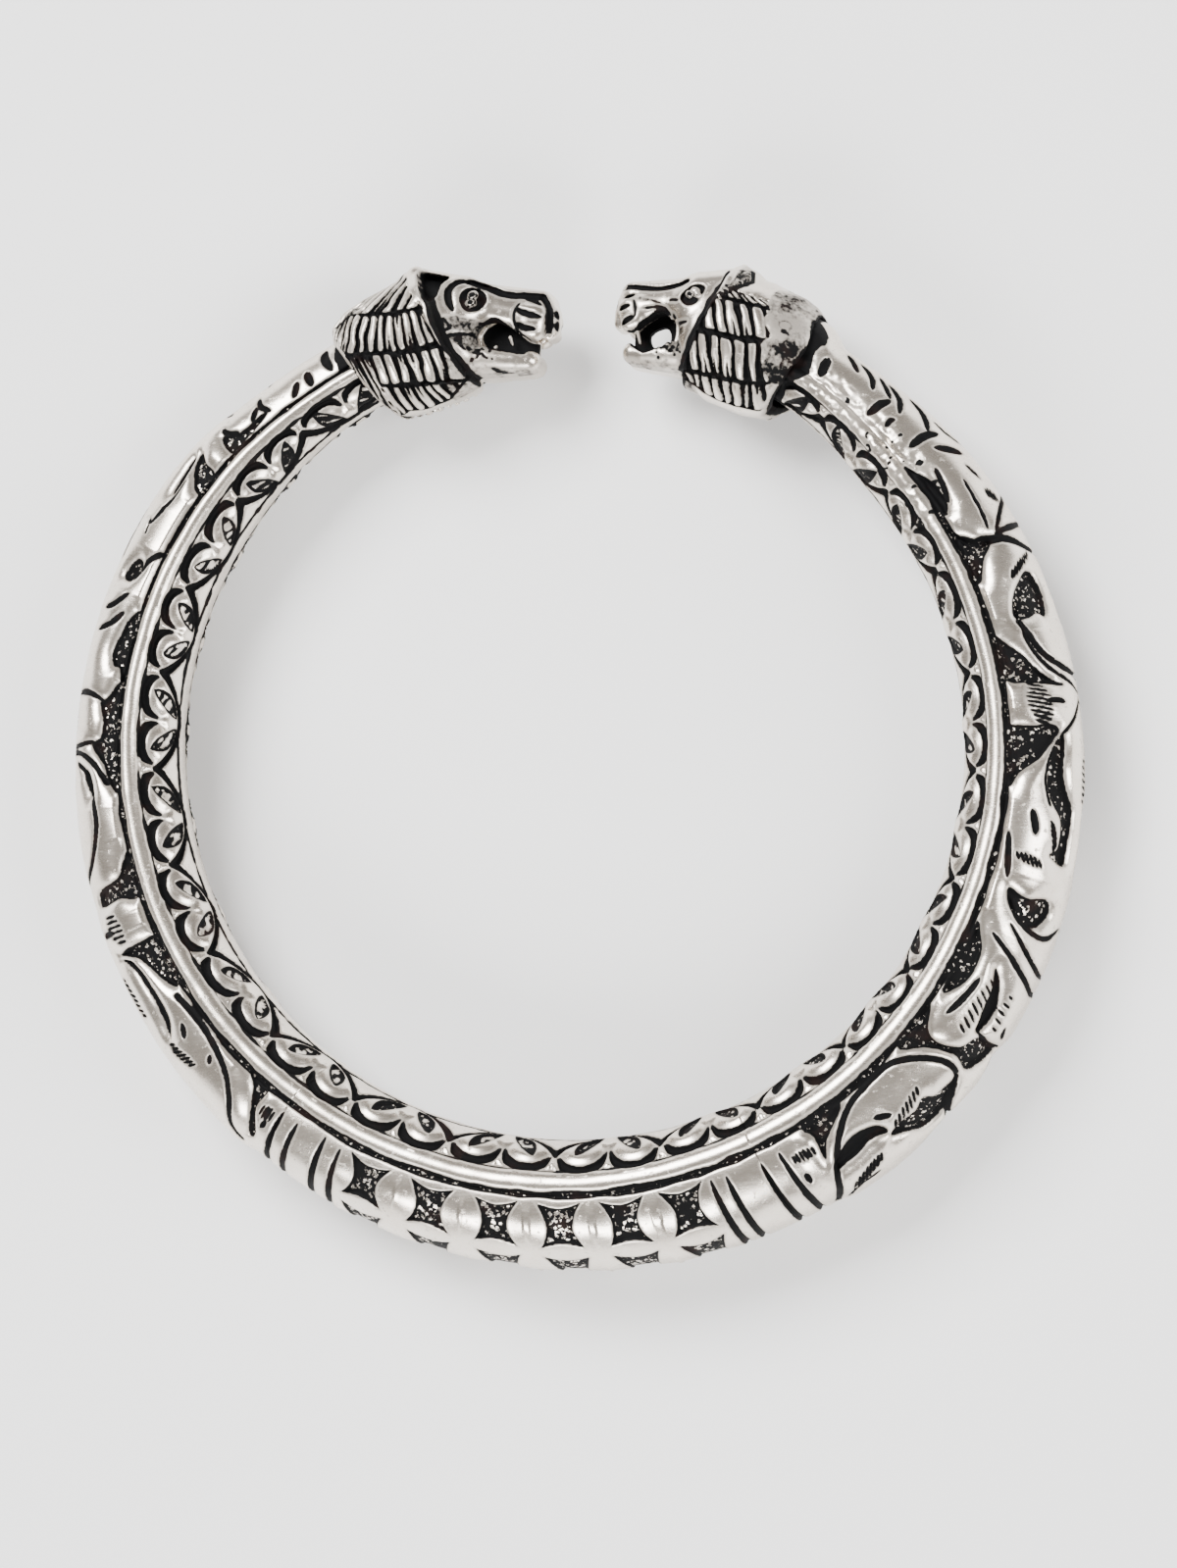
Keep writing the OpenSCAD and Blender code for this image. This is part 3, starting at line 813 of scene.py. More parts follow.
@dataclass(frozen=True)
class OxidisedSilver:
    """Sterling silver, dipped in liver of sulphur and buffed back on the high points.

    The sulphide stays black in every recess, with a brown cast where it is thick, and the
    buffed metal is bright, a little warm, and finely scratched.
    """

    name: str
    bright: str = "f4ece1"
    worn: str = "d3c8bb"
    sulphide: str = "050506"
    brown: str = "180d0b"
    bright_rough: float = 0.27
    sulphide_rough: float = 0.72
    sulphide_shine: float = 0.12
    punch_mm: float = 0.42
    smear_mm: float = 0.28
    fray_mm: float = 0.35
    cloud_mm: float = 2.4
    scratch_mm: float = 0.9
    pit_mm: float = 0.55
    grime: float = 0.75

    def material(self) -> bpy.types.Material:
        """Build the material from the fields and patterns that its parts share.

        Returns:
            The material.
        """
        made = bpy.data.materials.new(self.name)
        made.use_nodes = True
        made.node_tree.nodes.clear()
        add = partial(add_node, made.node_tree)
        place = add("ShaderNodeTexCoord").outputs["Object"]
        dark = add("ShaderNodeAttribute", attribute_name="dark").outputs["Fac"]
        cloud = add("ShaderNodeTexNoise", {"Vector": place, "Scale": 1 / (self.cloud_mm * MM),
                                           "Detail": 4.0})
        pits = add("ShaderNodeTexNoise", {"Vector": place, "Scale": 1 / (self.pit_mm * MM),
                                          "Detail": 5.0, "Roughness": 0.62})
        pitted = add("ShaderNodeMapRange", {"Value": pits, "From Min": 0.62, "From Max": 0.73})
        dots = self.buffed_dots(add, place, dark, cloud)
        black = self.blackened(add, place, dark, cloud, pitted, dots)
        self.surface(add, place, cloud, pitted, dots, black)
        return made

    def buffed_dots(self, add: AddNode, place: Socket, dark: Socket, cloud: Node) -> Node:
        """Find the punched ground's high points, which catch the buff and show as bright dots.

        Args:
            add: Adds a node to the material.
            place: Place on the object.
            dark: The dark field.
            cloud: Broad unevenness of the finish.

        Returns:
            The share of bright metal in blackened ground.
        """
        ground = add("ShaderNodeAttribute", attribute_name="stipple").outputs["Fac"]
        cells = add("ShaderNodeTexVoronoi", {"Vector": place, "Scale": 1 / (self.punch_mm * MM),
                                             "Randomness": 1.0})
        smear = add("ShaderNodeTexNoise", {"Vector": place, "Scale": 1 / (self.smear_mm * MM),
                                           "Detail": 2.0, "Distortion": 1.2})
        ring = add("ShaderNodeMath", {0: cells, 1: 0.55}, operation="MULTIPLY")
        spread = add("ShaderNodeMath", {0: ring, 1: smear}, operation="ADD")
        dense = add("ShaderNodeMath", {0: ground, 1: 0.09}, operation="MULTIPLY")
        spread = add("ShaderNodeMath", {0: spread, 1: dense}, operation="SUBTRACT")
        lit = add("ShaderNodeMapRange", {"Value": spread, "From Min": 0.56, "From Max": 0.5})
        patchy = add("ShaderNodeMapRange", {"Value": cloud, "From Min": 0.36, "From Max": 0.46})
        punched = add("ShaderNodeMath", {0: ground, 1: 1.0}, operation="MINIMUM")
        deep = add("ShaderNodeMapRange", {"Value": dark, "From Min": 0.04, "From Max": 0.16})
        lit = add("ShaderNodeMath", {0: lit, 1: patchy}, operation="MULTIPLY")
        lit = add("ShaderNodeMath", {0: lit, 1: punched}, operation="MULTIPLY")
        return add("ShaderNodeMath", {0: lit, 1: deep}, operation="MULTIPLY")

    def blackened(self, add: AddNode, place: Socket, dark: Socket, cloud: Node, pitted: Node,
                  dots: Node) -> Node:
        """Find the sulphide: full in the recesses, a haze beside them, and in pits.

        Args:
            add: Adds a node to the material.
            place: Place on the object.
            dark: The dark field.
            cloud: Broad unevenness of the finish.
            pitted: Share of small pits.
            dots: Share of bright dots in the punched ground.

        Returns:
            The share of sulphide.
        """
        fine = add("ShaderNodeTexNoise", {"Vector": place, "Scale": 1 / (self.fray_mm * MM), "Detail": 3.0})
        fray = add("ShaderNodeMath", {0: fine, 1: 0.5}, operation="SUBTRACT")
        edge = add("ShaderNodeMath", {0: fray, 1: 0.12, 2: dark}, operation="MULTIPLY_ADD")
        recess = add("ShaderNodeMapRange", {"Value": edge, "From Min": -0.085, "From Max": -0.005})
        black = add("ShaderNodeMath", {0: recess, 1: dots}, operation="SUBTRACT")
        near = add("ShaderNodeMapRange", {"Value": dark, "From Min": -0.28, "From Max": 0.0})
        haze = add("ShaderNodeMath", {0: near, 1: cloud}, operation="MULTIPLY")
        haze = add("ShaderNodeMath", {0: haze, 1: self.grime}, operation="MULTIPLY")
        share = add("ShaderNodeMath", {0: cloud, 1: 0.9}, operation="MULTIPLY")
        spots = add("ShaderNodeMath", {0: pitted, 1: share}, operation="MULTIPLY")
        grimy = add("ShaderNodeMath", {0: haze, 1: spots}, operation="MAXIMUM")
        clean = add("ShaderNodeMath", {0: 1.0, 1: dots}, operation="SUBTRACT")
        dull = add("ShaderNodeMath", {0: grimy, 1: clean}, operation="MULTIPLY")
        return add("ShaderNodeMath", {0: black, 1: dull}, operation="ADD", use_clamp=True)

    def surface(self, add: AddNode, place: Socket, cloud: Node, pitted: Node, dots: Node,
                black: Node) -> None:
        """Work colour, roughness and fine relief out of the sulphide, and join the shader.

        Args:
            add: Adds a node to the material.
            place: Place on the object.
            cloud: Broad unevenness of the finish.
            pitted: Share of small pits.
            dots: Share of bright dots in the punched ground.
            black: Share of sulphide.
        """
        thick = add("ShaderNodeMapRange", {"Value": cloud, "From Min": 0.56, "From Max": 0.7})
        metal_tone = add("ShaderNodeMix", {0: cloud, 6: linear(self.bright), 7: linear(self.worn)},
                         data_type="RGBA")
        black_tone = add("ShaderNodeMix", {0: thick, 6: linear(self.sulphide), 7: linear(self.brown)},
                         data_type="RGBA")
        tone = add("ShaderNodeMix", {0: black, 6: metal_tone, 7: black_tone}, data_type="RGBA")
        metal = add("ShaderNodeMapRange", {"Value": black, "To Min": 1.0, "To Max": 0.0})
        rough = add("ShaderNodeMapRange", {"Value": black, "To Min": self.bright_rough,
                                           "To Max": self.sulphide_rough})
        drawn = add("ShaderNodeMapping", {"Vector": place, "Scale": (1.0, 5.0, 2.0)})
        streaks = add("ShaderNodeTexNoise", {"Vector": drawn, "Scale": 1 / (self.scratch_mm * MM),
                                             "Detail": 6.0, "Roughness": 0.7})
        uneven = add("ShaderNodeMath", {0: streaks, 1: 0.5}, operation="SUBTRACT")
        uneven = add("ShaderNodeMath", {0: uneven, 1: 0.16}, operation="MULTIPLY")
        rough = add("ShaderNodeMath", {0: rough, 1: uneven}, operation="ADD")
        grain = add("ShaderNodeMath", {0: streaks, 1: 0.25}, operation="MULTIPLY")
        raised = add("ShaderNodeMath", {0: dots, 1: 1.4}, operation="MULTIPLY")
        grain = add("ShaderNodeMath", {0: grain, 1: raised}, operation="ADD")
        sunk = add("ShaderNodeMath", {0: pitted, 1: 0.4}, operation="MULTIPLY")
        grain = add("ShaderNodeMath", {0: grain, 1: sunk}, operation="SUBTRACT")
        bump = add("ShaderNodeBump", {"Height": grain, "Strength": 0.55, "Distance": 0.06 * MM})
        shader = add("ShaderNodeBsdfPrincipled", {
            "Base Color": tone, "Metallic": metal, "Specular IOR Level": self.sulphide_shine,
            "Roughness": rough, "Normal": bump})
        add("ShaderNodeOutputMaterial", {"Surface": shader})


# Chased sheet: cool bright highlights on the bosses, dots of metal in black punched grounds
SHEET = OxidisedSilver("oxidised_silver_chased")
# Cast silver, buffed by hand: a little darker and softer, with more grime beside the cuts
CAST = OxidisedSilver("oxidised_silver_cast", bright="f0e8dd", worn="cbc1b5", bright_rough=0.25,
                      grime=1.0)


def mesh_object(name: str, verts: Array, faces: Array, fields: dict[str, Array],
                finish: bpy.types.Material, uv: Array) -> bpy.types.Object:
    """Make a smooth mesh with named fields on its vertices.

    Args:
        name: Name of the piece.
        verts: Points in metres.
        faces: Corners of the faces; a triangle repeats its last corner.
        fields: Attribute name to one number a vertex.
        finish: Material of the piece.
        uv: Two numbers a face corner, in the order of the faces.

    Returns:
        The object.
    """
    mesh = bpy.data.meshes.new(name)
    quads = faces[:, 3] != faces[:, 2]
    sizes = np.where(quads, 4, 3)
    keep = np.ones(faces.shape, bool)
    keep[~quads, 3] = False
    corners = faces[keep]
    mesh.vertices.add(len(verts))
    mesh.vertices.foreach_set("co", verts.astype(np.float32).ravel())
    mesh.loops.add(len(corners))
    mesh.loops.foreach_set("vertex_index", corners.astype(np.int32))
    mesh.polygons.add(len(faces))
    starts = np.concatenate([[0], np.cumsum(sizes)[:-1]])
    mesh.polygons.foreach_set("loop_start", starts.astype(np.int32))
    mesh.update(calc_edges=True)
    mesh.polygons.foreach_set("use_smooth", np.ones(len(faces), bool))
    for key, values in fields.items():
        mesh.attributes.new(key, "FLOAT", "POINT").data.foreach_set(
            "value", values.astype(np.float32).ravel())
    layer = mesh.uv_layers.new(name="OFBake")
    layer.data.foreach_set("uv", uv[keep].astype(np.float32).ravel())
    mesh.validate(verbose=False)
    mesh.materials.append(finish)
    made = bpy.data.objects.new(name, mesh)
    bpy.context.scene.collection.objects.link(made)
    return made


@dataclass
class BandPiece:
    """A closed stretch of the chased tube.

    Where it goes into a head it is drawn in to a plain spigot, past the chased length given by
    into_head in millimetres.
    """

    name: str
    start: float
    stop: float
    steps: int
    top_steps: int = 104
    under_steps: int = 66
    spigot_mm: float = 4.0
    spigot_share: float = 0.86
    into_head: tuple[float, float] = (0.0, 0.0)

    def section(self) -> Array:
        """Divide the section, finer on the upper face.

        Returns:
            Angles round the section, as one row.
        """
        up = np.concatenate([np.linspace(0, 180, self.top_steps, endpoint=False),
                             np.linspace(180, 360, self.under_steps, endpoint=False)])
        return np.where(up > 180, up - 360, up)[None, :]

    def spigot(self, at: float, reach: float, up: Array) -> Array:
        """Two plain rings inside a head, the one nearer to the head's rear first.

        Args:
            at: The tube's end, round the ring.
            reach: How far the chased tube runs into the head, in millimetres.
            up: Angles round the section.

        Returns:
            The rings' points.
        """
        inward = math.copysign(PER_MM, at)
        b = np.array([[at + inward * (reach + 0.05)], [at + inward * self.spigot_mm]])
        half = self.spigot_share * TUBE.width(b) / 2
        return TUBE.point(b, up, np.broadcast_to(half, (2, up.shape[1])))

    @staticmethod
    def grid(rows: int, n: int) -> tuple[Array, Array]:
        """Faces between closed rings of points, and their place on the texture.

        Args:
            rows: Number of rings.
            n: Points on a ring.

        Returns:
            Faces of four corners, and two numbers for each corner.
        """
        i, j = np.meshgrid(np.arange(rows - 1), np.arange(n), indexing="ij")
        k = (j + 1) % n
        faces = np.stack([i * n + j, (i + 1) * n + j, (i + 1) * n + k, i * n + k], -1).reshape(-1, 4)
        u = np.stack([i, i + 1, i + 1, i], -1).reshape(-1, 4) / (rows - 1)
        v = np.stack([j, j, j + 1, j + 1], -1).reshape(-1, 4) / n
        return faces, np.stack([0.01 + 0.98 * u, 0.02 + 0.94 * v], -1)

    @staticmethod
    def caps(rows: int, n: int) -> tuple[Array, Array]:
        """Flat ends, each a fan round a hub; the hubs follow the rings' points.

        Args:
            rows: Number of rings.
            n: Points on a ring.

        Returns:
            Faces whose last corner is repeated, and two numbers for each corner.
        """
        fans = []
        for hub, end, order in ((rows * n, 0, 1), (rows * n + 1, rows - 1, -1)):
            ring = end * n + np.arange(n)
            onward = end * n + (np.arange(n) + 1) % n
            fan = np.stack([ring, onward, np.full(n, hub)], -1)[:, ::order]
            fans.append(np.concatenate([fan, fan[:, 2:]], -1))
        faces = np.concatenate(fans)
        corner = np.array([[0.002, 0.985], [0.004, 0.985], [0.004, 0.99], [0.004, 0.99]])
        return faces, np.tile(corner, (len(faces), 1, 1))

    def build(self, finish: bpy.types.Material) -> bpy.types.Object:
        """Build the stretch.

        Args:
            finish: Its material.

        Returns:
            The object.
        """
        first, last = self.into_head
        b = np.linspace(self.start - first * PER_MM, self.stop + last * PER_MM, self.steps)[:, None]
        up = self.section()
        n = up.shape[1]
        work = Chasing(b, up)
        work.work()
        rings = [TUBE.point(b, up, TUBE.width(b) / 2 + work.rise)]
        dark, stipple = [work.dark], [work.stipple]
        if first:
            rings.insert(0, self.spigot(self.start, first, up)[::-1])
            dark.insert(0, np.full((2, n), BLACK))
            stipple.insert(0, np.zeros((2, n)))
        if last:
            rings.append(self.spigot(self.stop, last, up))
            dark.append(np.full((2, n), BLACK))
            stipple.append(np.zeros((2, n)))
        points = np.concatenate(rings)
        faces, uv = self.grid(len(points), n)
        cap_faces, cap_uv = self.caps(len(points), n)
        verts = np.concatenate([points.reshape(-1, 3), points[[0, -1]].mean(1)])
        fields = {"dark": np.append(np.concatenate(dark), [BLACK] * 2),
                  "stipple": np.append(np.concatenate(stipple), [0.0] * 2)}
        return mesh_object(self.name, verts, np.concatenate([faces, cap_faces]), fields, finish,
                           np.concatenate([uv, cap_uv]))


# Heads, carved in a block of small cells

@dataclass(frozen=True)
class Ball:
    """A ball of the head: along, up, to the side, radius, in the face's own frame."""

    along: float
    up: float
    side: float
    r: float


@dataclass
class Block:
    """Cells of half a head, from its middle plane to the side, with the carving on them."""

    low: tuple[float, float] = (-0.6, -9.2)
    high: tuple[float, float] = (19.2, 6.6)
    side: float = 6.5
    cell: float = 0.1

    def __post_init__(self) -> None:
        """Lay out the cells."""
        self.x = np.arange(self.low[0], self.high[0], self.cell, dtype=np.float32)
        self.y = np.arange(self.low[1], self.high[1], self.cell, dtype=np.float32)
        self.z = np.arange(0, self.side, self.cell, dtype=np.float32)
        self.X, self.Y, self.Z = np.meshgrid(self.x, self.y, self.z, indexing="ij")
        self.form = np.full(self.X.shape, FAR_MM, np.float32)
        self.dark = np.full(self.X.shape, -1.0, np.float32)

    def face_frame(self, at: tuple[float, float], nod: float) -> None:
        """Set the face's own coordinates, U forward and V outward.

        Args:
            at: The face's pivot in the head's frame.
            nod: How far the face is bent towards the wrist, in degrees.
        """
        c, s = math.cos(math.radians(nod)), math.sin(math.radians(nod))
        dx, dy = self.X - at[0], self.Y - at[1]
        self.U, self.V = dx * c - dy * s, dx * s + dy * c

    def join(self, other: Array, soft: float) -> None:
        """Add a form.

        Args:
            other: Distance to the form.
            soft: Distance over which it is blended in.
        """
        h = np.clip(0.5 + 0.5 * (other - self.form) / soft, 0, 1)
        self.form = other * (1 - h) + self.form * h - soft * h * (1 - h)

    def carve(self, tool: Array, soft: float) -> None:
        """Take a form away.

        Args:
            tool: Distance to the form.
            soft: Distance over which the edge is rounded.
        """
        h = np.clip(0.5 - 0.5 * (self.form + tool) / soft, 0, 1)
        self.form = self.form * (1 - h) - tool * h + soft * h * (1 - h)

    def rod(self, a: Ball, b: Ball, spread: bool = False) -> Array:
        """Distance to a tapered rod between two balls.

        Args:
            a: First ball.
            b: Last ball.
            spread: True where the rod is widened to the middle plane.

        Returns:
            The distance from every cell.
        """
        du, dv = b.along - a.along, b.up - a.up
        dw = 0.0 if spread else b.side - a.side
        pu, pv, pw = self.U - a.along, self.V - a.up, self.Z - (0.0 if spread else a.side)
        length = du * du + dv * dv + dw * dw + 1e-6
        t = np.clip((pu * du + pv * dv + (0 if spread else pw * dw)) / length, 0, 1)
        if spread:
            w = np.maximum(self.Z - (a.side + (b.side - a.side) * t), 0)
        else:
            w = pw - t * dw
        return np.sqrt((pu - t * du) ** 2 + (pv - t * dv) ** 2 + w * w) - (a.r + (b.r - a.r) * t)

    def chain(self, balls: Sequence[Ball], spread: bool = False) -> Array:
        """Distance to rods through a list of balls.

        Args:
            balls: The balls in order.
            spread: True where the rods are widened to the middle plane.

        Returns:
            The distance from every cell.
        """
        d = self.rod(balls[0], balls[1], spread)
        for a, b in zip(balls[1:], balls[2:]):
            d = np.minimum(d, self.rod(a, b, spread))
        return d

    def skin(self) -> tuple[Array, Array]:
        """Turn the cells into a mesh of both sides.

        Returns:
            Points in the head's frame, in millimetres, and faces of four corners.
        """
        whole = np.concatenate([self.form[:, :, :0:-1], self.form], axis=2)
        grid = openvdb.FloatGrid(background=3.0)
        grid.copyFromArray(np.ascontiguousarray(whole), tolerance=0.0)
        points, tris, quads = grid.convertToPolygons(isovalue=0.0, adaptivity=0.0)
        faces = quads.astype(np.int64)
        if len(tris):
            faces = np.concatenate([faces, np.concatenate([tris, tris[:, 2:]], 1)])
        offset = np.array([self.low[0], self.low[1], -(len(self.z) - 1) * self.cell])
        return points * self.cell + offset, faces

    def sample(self, values: Array, points: Array) -> Array:
        """Look a field of the cells up at points of the mesh.

        Args:
            values: The field.
            points: The points.

        Returns:
            One value a point.
        """
        p = np.stack([(points[:, 0] - self.low[0]), (points[:, 1] - self.low[1]),
                      np.abs(points[:, 2])], -1) / self.cell
        top = np.array(values.shape) - 2
        i = np.clip(np.floor(p).astype(int), 0, top)
        f = np.clip(p - i, 0, 1)
        out = np.zeros(len(p))
        for m in range(8):
            o = np.array([m & 1, m >> 1 & 1, m >> 2 & 1])
            w = np.prod(np.where(o, f, 1 - f), axis=1)
            out += w * values[i[:, 0] + o[0], i[:, 1] + o[1], i[:, 2] + o[2]]
        return out


@dataclass(frozen=True)
class Tier:
    """One tier of the mane.

    Places are along the head in millimetres and round it from 0 at the crest to 1 at the beard.
    A strand's lean is how far its lower end lies behind its upper end.
    """

    edge: Points
    pitch: tuple[float, float]
    lean: tuple[float, float]
    groove: float = 0.34


@dataclass(frozen=True)
class ManeCut:
    """A mane: its form, its tiers of strands and the plain metal round them.

    The form's rows are the place along the tube, the middle towards the outside of the ring,
    the half width that way, and the share of the full half depth.
    """

    form: tuple[tuple[float, float, float, float], ...]
    top: Points
    tiers: tuple[Tier, ...]
    rear: Points
    front: Points
    rim: Points
    worn: Points


@dataclass(frozen=True)
class FaceCut:
    """Marks on the side of the face, forward and outward from the face's pivot."""

    marks: tuple[Mark, ...]
    grey: tuple[Points, ...]
    eye: Points
    eye_balls: tuple[Ball, ...]
    teeth: tuple[tuple[Ball, Ball], ...]
    ear: tuple[tuple[Ball, ...], ...]
    ear_ground: float
    nostrils: tuple[Ball, ...]
    mouth: Points
    hole: Points
    wall_to: float
    ear_ground_top: float = 3.7


# Forms of the face that reach over its middle plane, each with how softly it joins
SKULL_MIDDLE = (
    ((Ball(-2.8, 2.0, 1.2, 2.2), Ball(0.6, 1.6, 1.5, 2.2)), 0.2),
    ((Ball(-1.6, 0.0, 2.2, 2.4), Ball(0.2, -1.6, 2.0, 2.2)), 0.4),
    ((Ball(-1.6, 0.0, 2.2, 2.4), Ball(0.6, 0.8, 1.8, 2.2)), 0.4),
    ((Ball(1.2, 1.75, 1.6, 1.8), Ball(3.6, 2.05, 1.15, 1.3), Ball(6.9, 2.3, 0.7, 1.0)), 0.5),
    ((Ball(1.0, -2.7, 1.6, 1.3), Ball(3.0, -2.85, 1.6, 1.1), Ball(5.5, -2.64, 1.35, 0.94),
      Ball(6.72, -2.5, 1.05, 0.86)), 0.35),
    ((Ball(6.6, -2.4, 0.9, 0.6), Ball(6.85, -1.95, 0.75, 0.4)), 0.3),
    ((Ball(7.35, 2.4, 0.6, 0.7), Ball(7.9, 1.2, 0.6, 0.7), Ball(8.0, 0.0, 0.6, 0.62)), 0.3),
)
# Forms on both sides of the face
SKULL_SIDES = (
    ((Ball(0.4, -0.8, 2.6, 1.5), Ball(1.9, 0.9, 2.2, 1.3)), 0.5),
    ((Ball(0.4, -0.8, 2.6, 1.5), Ball(1.2, -2.5, 2.0, 1.3)), 0.5),
    ((Ball(2.4, 1.3, 1.9, 1.15), Ball(5.4, 1.0, 1.4, 1.1)), 0.5),
    ((Ball(5.7, 0.95, 1.35, 1.2), Ball(6.9, 0.95, 1.25, 1.2)), 0.2),
    ((Ball(6.3, 0.1, 1.55, 0.95), Ball(6.9, 0.0, 1.4, 0.95)), 0.3),
    ((Ball(3.2, -2.7, 1.95, 0.8), Ball(5.0, -2.66, 1.7, 0.7), Ball(6.6, -2.5, 1.25, 0.76)), 0.4),
)

LEFT_MANE = ManeCut(
    form=((0.3, 0.15, 3.55, 0.7), (1.2, 0.15, 4.0, 0.79), (2.4, -0.1, 4.7, 0.87), (4.2, -0.35, 5.1, 0.95),
          (6.8, -0.6, 5.3, 1.0), (8.7, -0.7, 5.25, 0.97), (9.3, -0.7, 5.25, 0.97)),
    top=((0, 0.0), (10, 0.02)),
    tiers=(
        Tier(((0, 0.2), (3.1, 0.242), (4.2, 0.325), (5.2, 0.36), (6.2, 0.4), (8.3, 0.44), (9.5, 0.45)),
             (0.68, 0.92), (5.5, 4.5)),
        Tier(((0, 0.45), (1.25, 0.481), (2.3, 0.513), (4, 0.552), (5.4, 0.591), (6.9, 0.619), (9.5, 0.65)),
             (0.6, 0.72), (2.4, 0.3)),
        Tier(((0, 1.0), (2.2, 1.0), (2.6, 0.71), (4.3, 0.746), (6.2, 0.791), (8.4, 0.86), (9.5, 0.87)),
             (0.5, 1.08), (0.4, 0.9), 0.3),
        Tier(((0, 1.0), (2.2, 1.0), (3.3, 0.93), (4.8, 0.965), (6.5, 0.95), (8.3, 0.876), (9.5, 0.87)),
             (0.78, 0.78), (0.3, -0.3), 0.26),
    ),
    rear=((0, 0.35), (0.3, 0.6), (0.45, 0.9), (0.6, 1.1), (0.75, 1.35), (0.9, 1.6), (0.95, 1.8), (1, 2.1)),
    front=((0, 9.3), (0.3, 9.2), (0.44, 9.1), (0.52, 8.85), (0.65, 8.68), (0.82, 8.85),
           (0.91, 9.05), (1, 9.2)),
    rim=((0, 1.25), (0.27, 1.15), (0.44, 0.62), (0.59, 0.45), (0.68, 0.16), (1, 0.12)),
    worn=((0, 0.0), (1, 0.0)),
)
RIGHT_MANE = ManeCut(
    form=((0.3, 0.15, 3.75, 0.72), (1.2, 0.15, 4.1, 0.8), (2.4, -0.1, 4.7, 0.87), (4.2, -0.3, 5.15, 0.95),
          (6.8, -0.6, 5.3, 1.0), (7.4, -0.65, 5.2, 1.0), (8.7, -0.9, 5.05, 0.97), (9.3, -1.0, 4.9, 0.95)),
    top=((0, 0.24), (5.2, 0.27), (7.1, 0.3), (10, 0.3)),
    tiers=(
        Tier(((0, 0.3), (5.2, 0.33), (7.1, 0.365), (9.5, 0.38)), (0.62, 0.64), (1.8, 1.8), 0.26),
        Tier(((0, 0.44), (3.8, 0.478), (6.1, 0.536), (8.2, 0.563), (9.5, 0.57)),
             (0.9, 0.95), (2.0, 2.0), 0.5),
        Tier(((0, 0.62), (1.9, 0.668), (4, 0.716), (6.3, 0.748), (8.3, 0.8), (9.5, 0.82)),
             (0.9, 0.85), (1.8, 1.5), 0.3),
        Tier(((0, 0.885), (3.1, 0.888), (5.7, 0.902), (8, 0.87), (9.5, 0.86)),
             (0.78, 0.74), (0.8, 0.5), 0.24),
    ),
    rear=((0, 2.6), (0.14, 2.1), (0.27, 1.45), (0.4, 1.4), (0.59, 1.4), (0.8, 1.9), (0.93, 2.1), (1, 2.3)),
    front=((0, 9.25), (0.38, 9.07), (0.48, 8.9), (0.6, 8.8), (0.82, 8.65), (1, 8.8)),
    rim=((0, 0.4), (0.3, 0.3), (0.5, 0.12), (1, 0.08)),
    worn=((0, 5.7), (0.29, 5.3), (0.39, 4.6), (0.475, 3.7), (0.57, 3.16), (0.66, 2.4), (0.72, 1.3), (1, 1.3)),
)

LEFT_FACE = FaceCut(
    marks=(
        Mark(H, ((-2.5, 3.6), (-0.9, 3.5), (-0.2, 3.3), (-0.65, 2.6), (-0.74, 1.48), (-1.2, 0.9),
                 (-1.7, 1.5), (-2.05, 2.3)), 0.8),
        Mark(L, ((1.35, 3.1), (0.6, 2.85), (0.17, 2.1), (0.38, 1.23), (0.85, 0.5)), 0.56),
        Mark(E, ((1.5, 3.12), (2.86, 2.88), (4.45, 2.44), (6.0, 2.56), (7.0, 2.62), (7.3, 2.6)), 0.5),
        Mark(E, ((7.2, 2.7), (7.75, 2.0), (7.96, 1.4), (8.05, 0.5), (8.0, -0.3)), 0.38),
        Mark(L, ((6.1, 2.2), (6.8, 2.12), (7.3, 1.86)), 0.16),
        Mark(L, ((5.5, 1.3), (6.5, 0.98), (7.5, 0.86)), 0.42),
        Mark(L, ((5.6, 0.24), (6.3, -0.1), (7.2, -0.1)), 0.4),
        Mark(L, ((5.66, 1.9), (5.4, 0.9), (5.7, -0.3), (6.78, -1.0)), 0.14),
        Mark(L, ((3.9, -3.5), (6.2, -3.72), (7.7, -3.6)), 0.12),
        Mark(L, ((0.6, -1.6), (1.6, -1.3), (2.6, -0.95)), 0.12),
        Mark(L, ((0.37, -1.24), (0.9, -0.9), (0.2, -0.2)), 0.1),
    ),
    grey=(((-0.04, 0), (1.61, 0.3), (3.2, 0.1), (2.5, -0.92), (0.37, -1.24)),
          ((0.5, -1.4), (2.4, -1.0), (3.1, -2.1), (2.2, -2.83))),
    eye=((1.22, 1.95), (1.77, 2.55), (2.7, 2.4), (3.1, 1.7), (2.72, 0.9), (1.88, 0.62), (1.35, 1.17)),
    eye_balls=(Ball(2.0, 1.98, 3.12, 0.36), Ball(1.95, 1.32, 3.2, 0.38)),
    teeth=((Ball(5.0, -0.75, 1.3, 0.17), Ball(5.25, -1.35, 1.2, 0.1)),
           (Ball(3.85, -1.65, 1.1, 0.18), Ball(3.95, -1.5, 1.1, 0.12))),
    ear=((Ball(-3.0, 3.4, 2.3, 0.75), Ball(-2.6, 2.2, 3.2, 0.7), Ball(-2.3, 1.2, 3.9, 0.5)),),
    ear_ground=0.0,
    nostrils=(Ball(8.5, 1.4, 0.85, 0.3), Ball(8.6, 0.5, 0.75, 0.34)),
    mouth=((2.7, -0.65), (3.25, 0.1), (4.0, 0.33), (4.8, -0.02), (5.45, -0.42), (6.5, -1.05),
           (8.0, -1.12), (9.4, -1.1), (9.4, -1.66), (7.0, -1.66), (6.3, -2.05), (5.4, -2.02), (3.8, -1.85),
           (2.95, -1.25)),
    hole=(),
    wall_to=7.2,
)
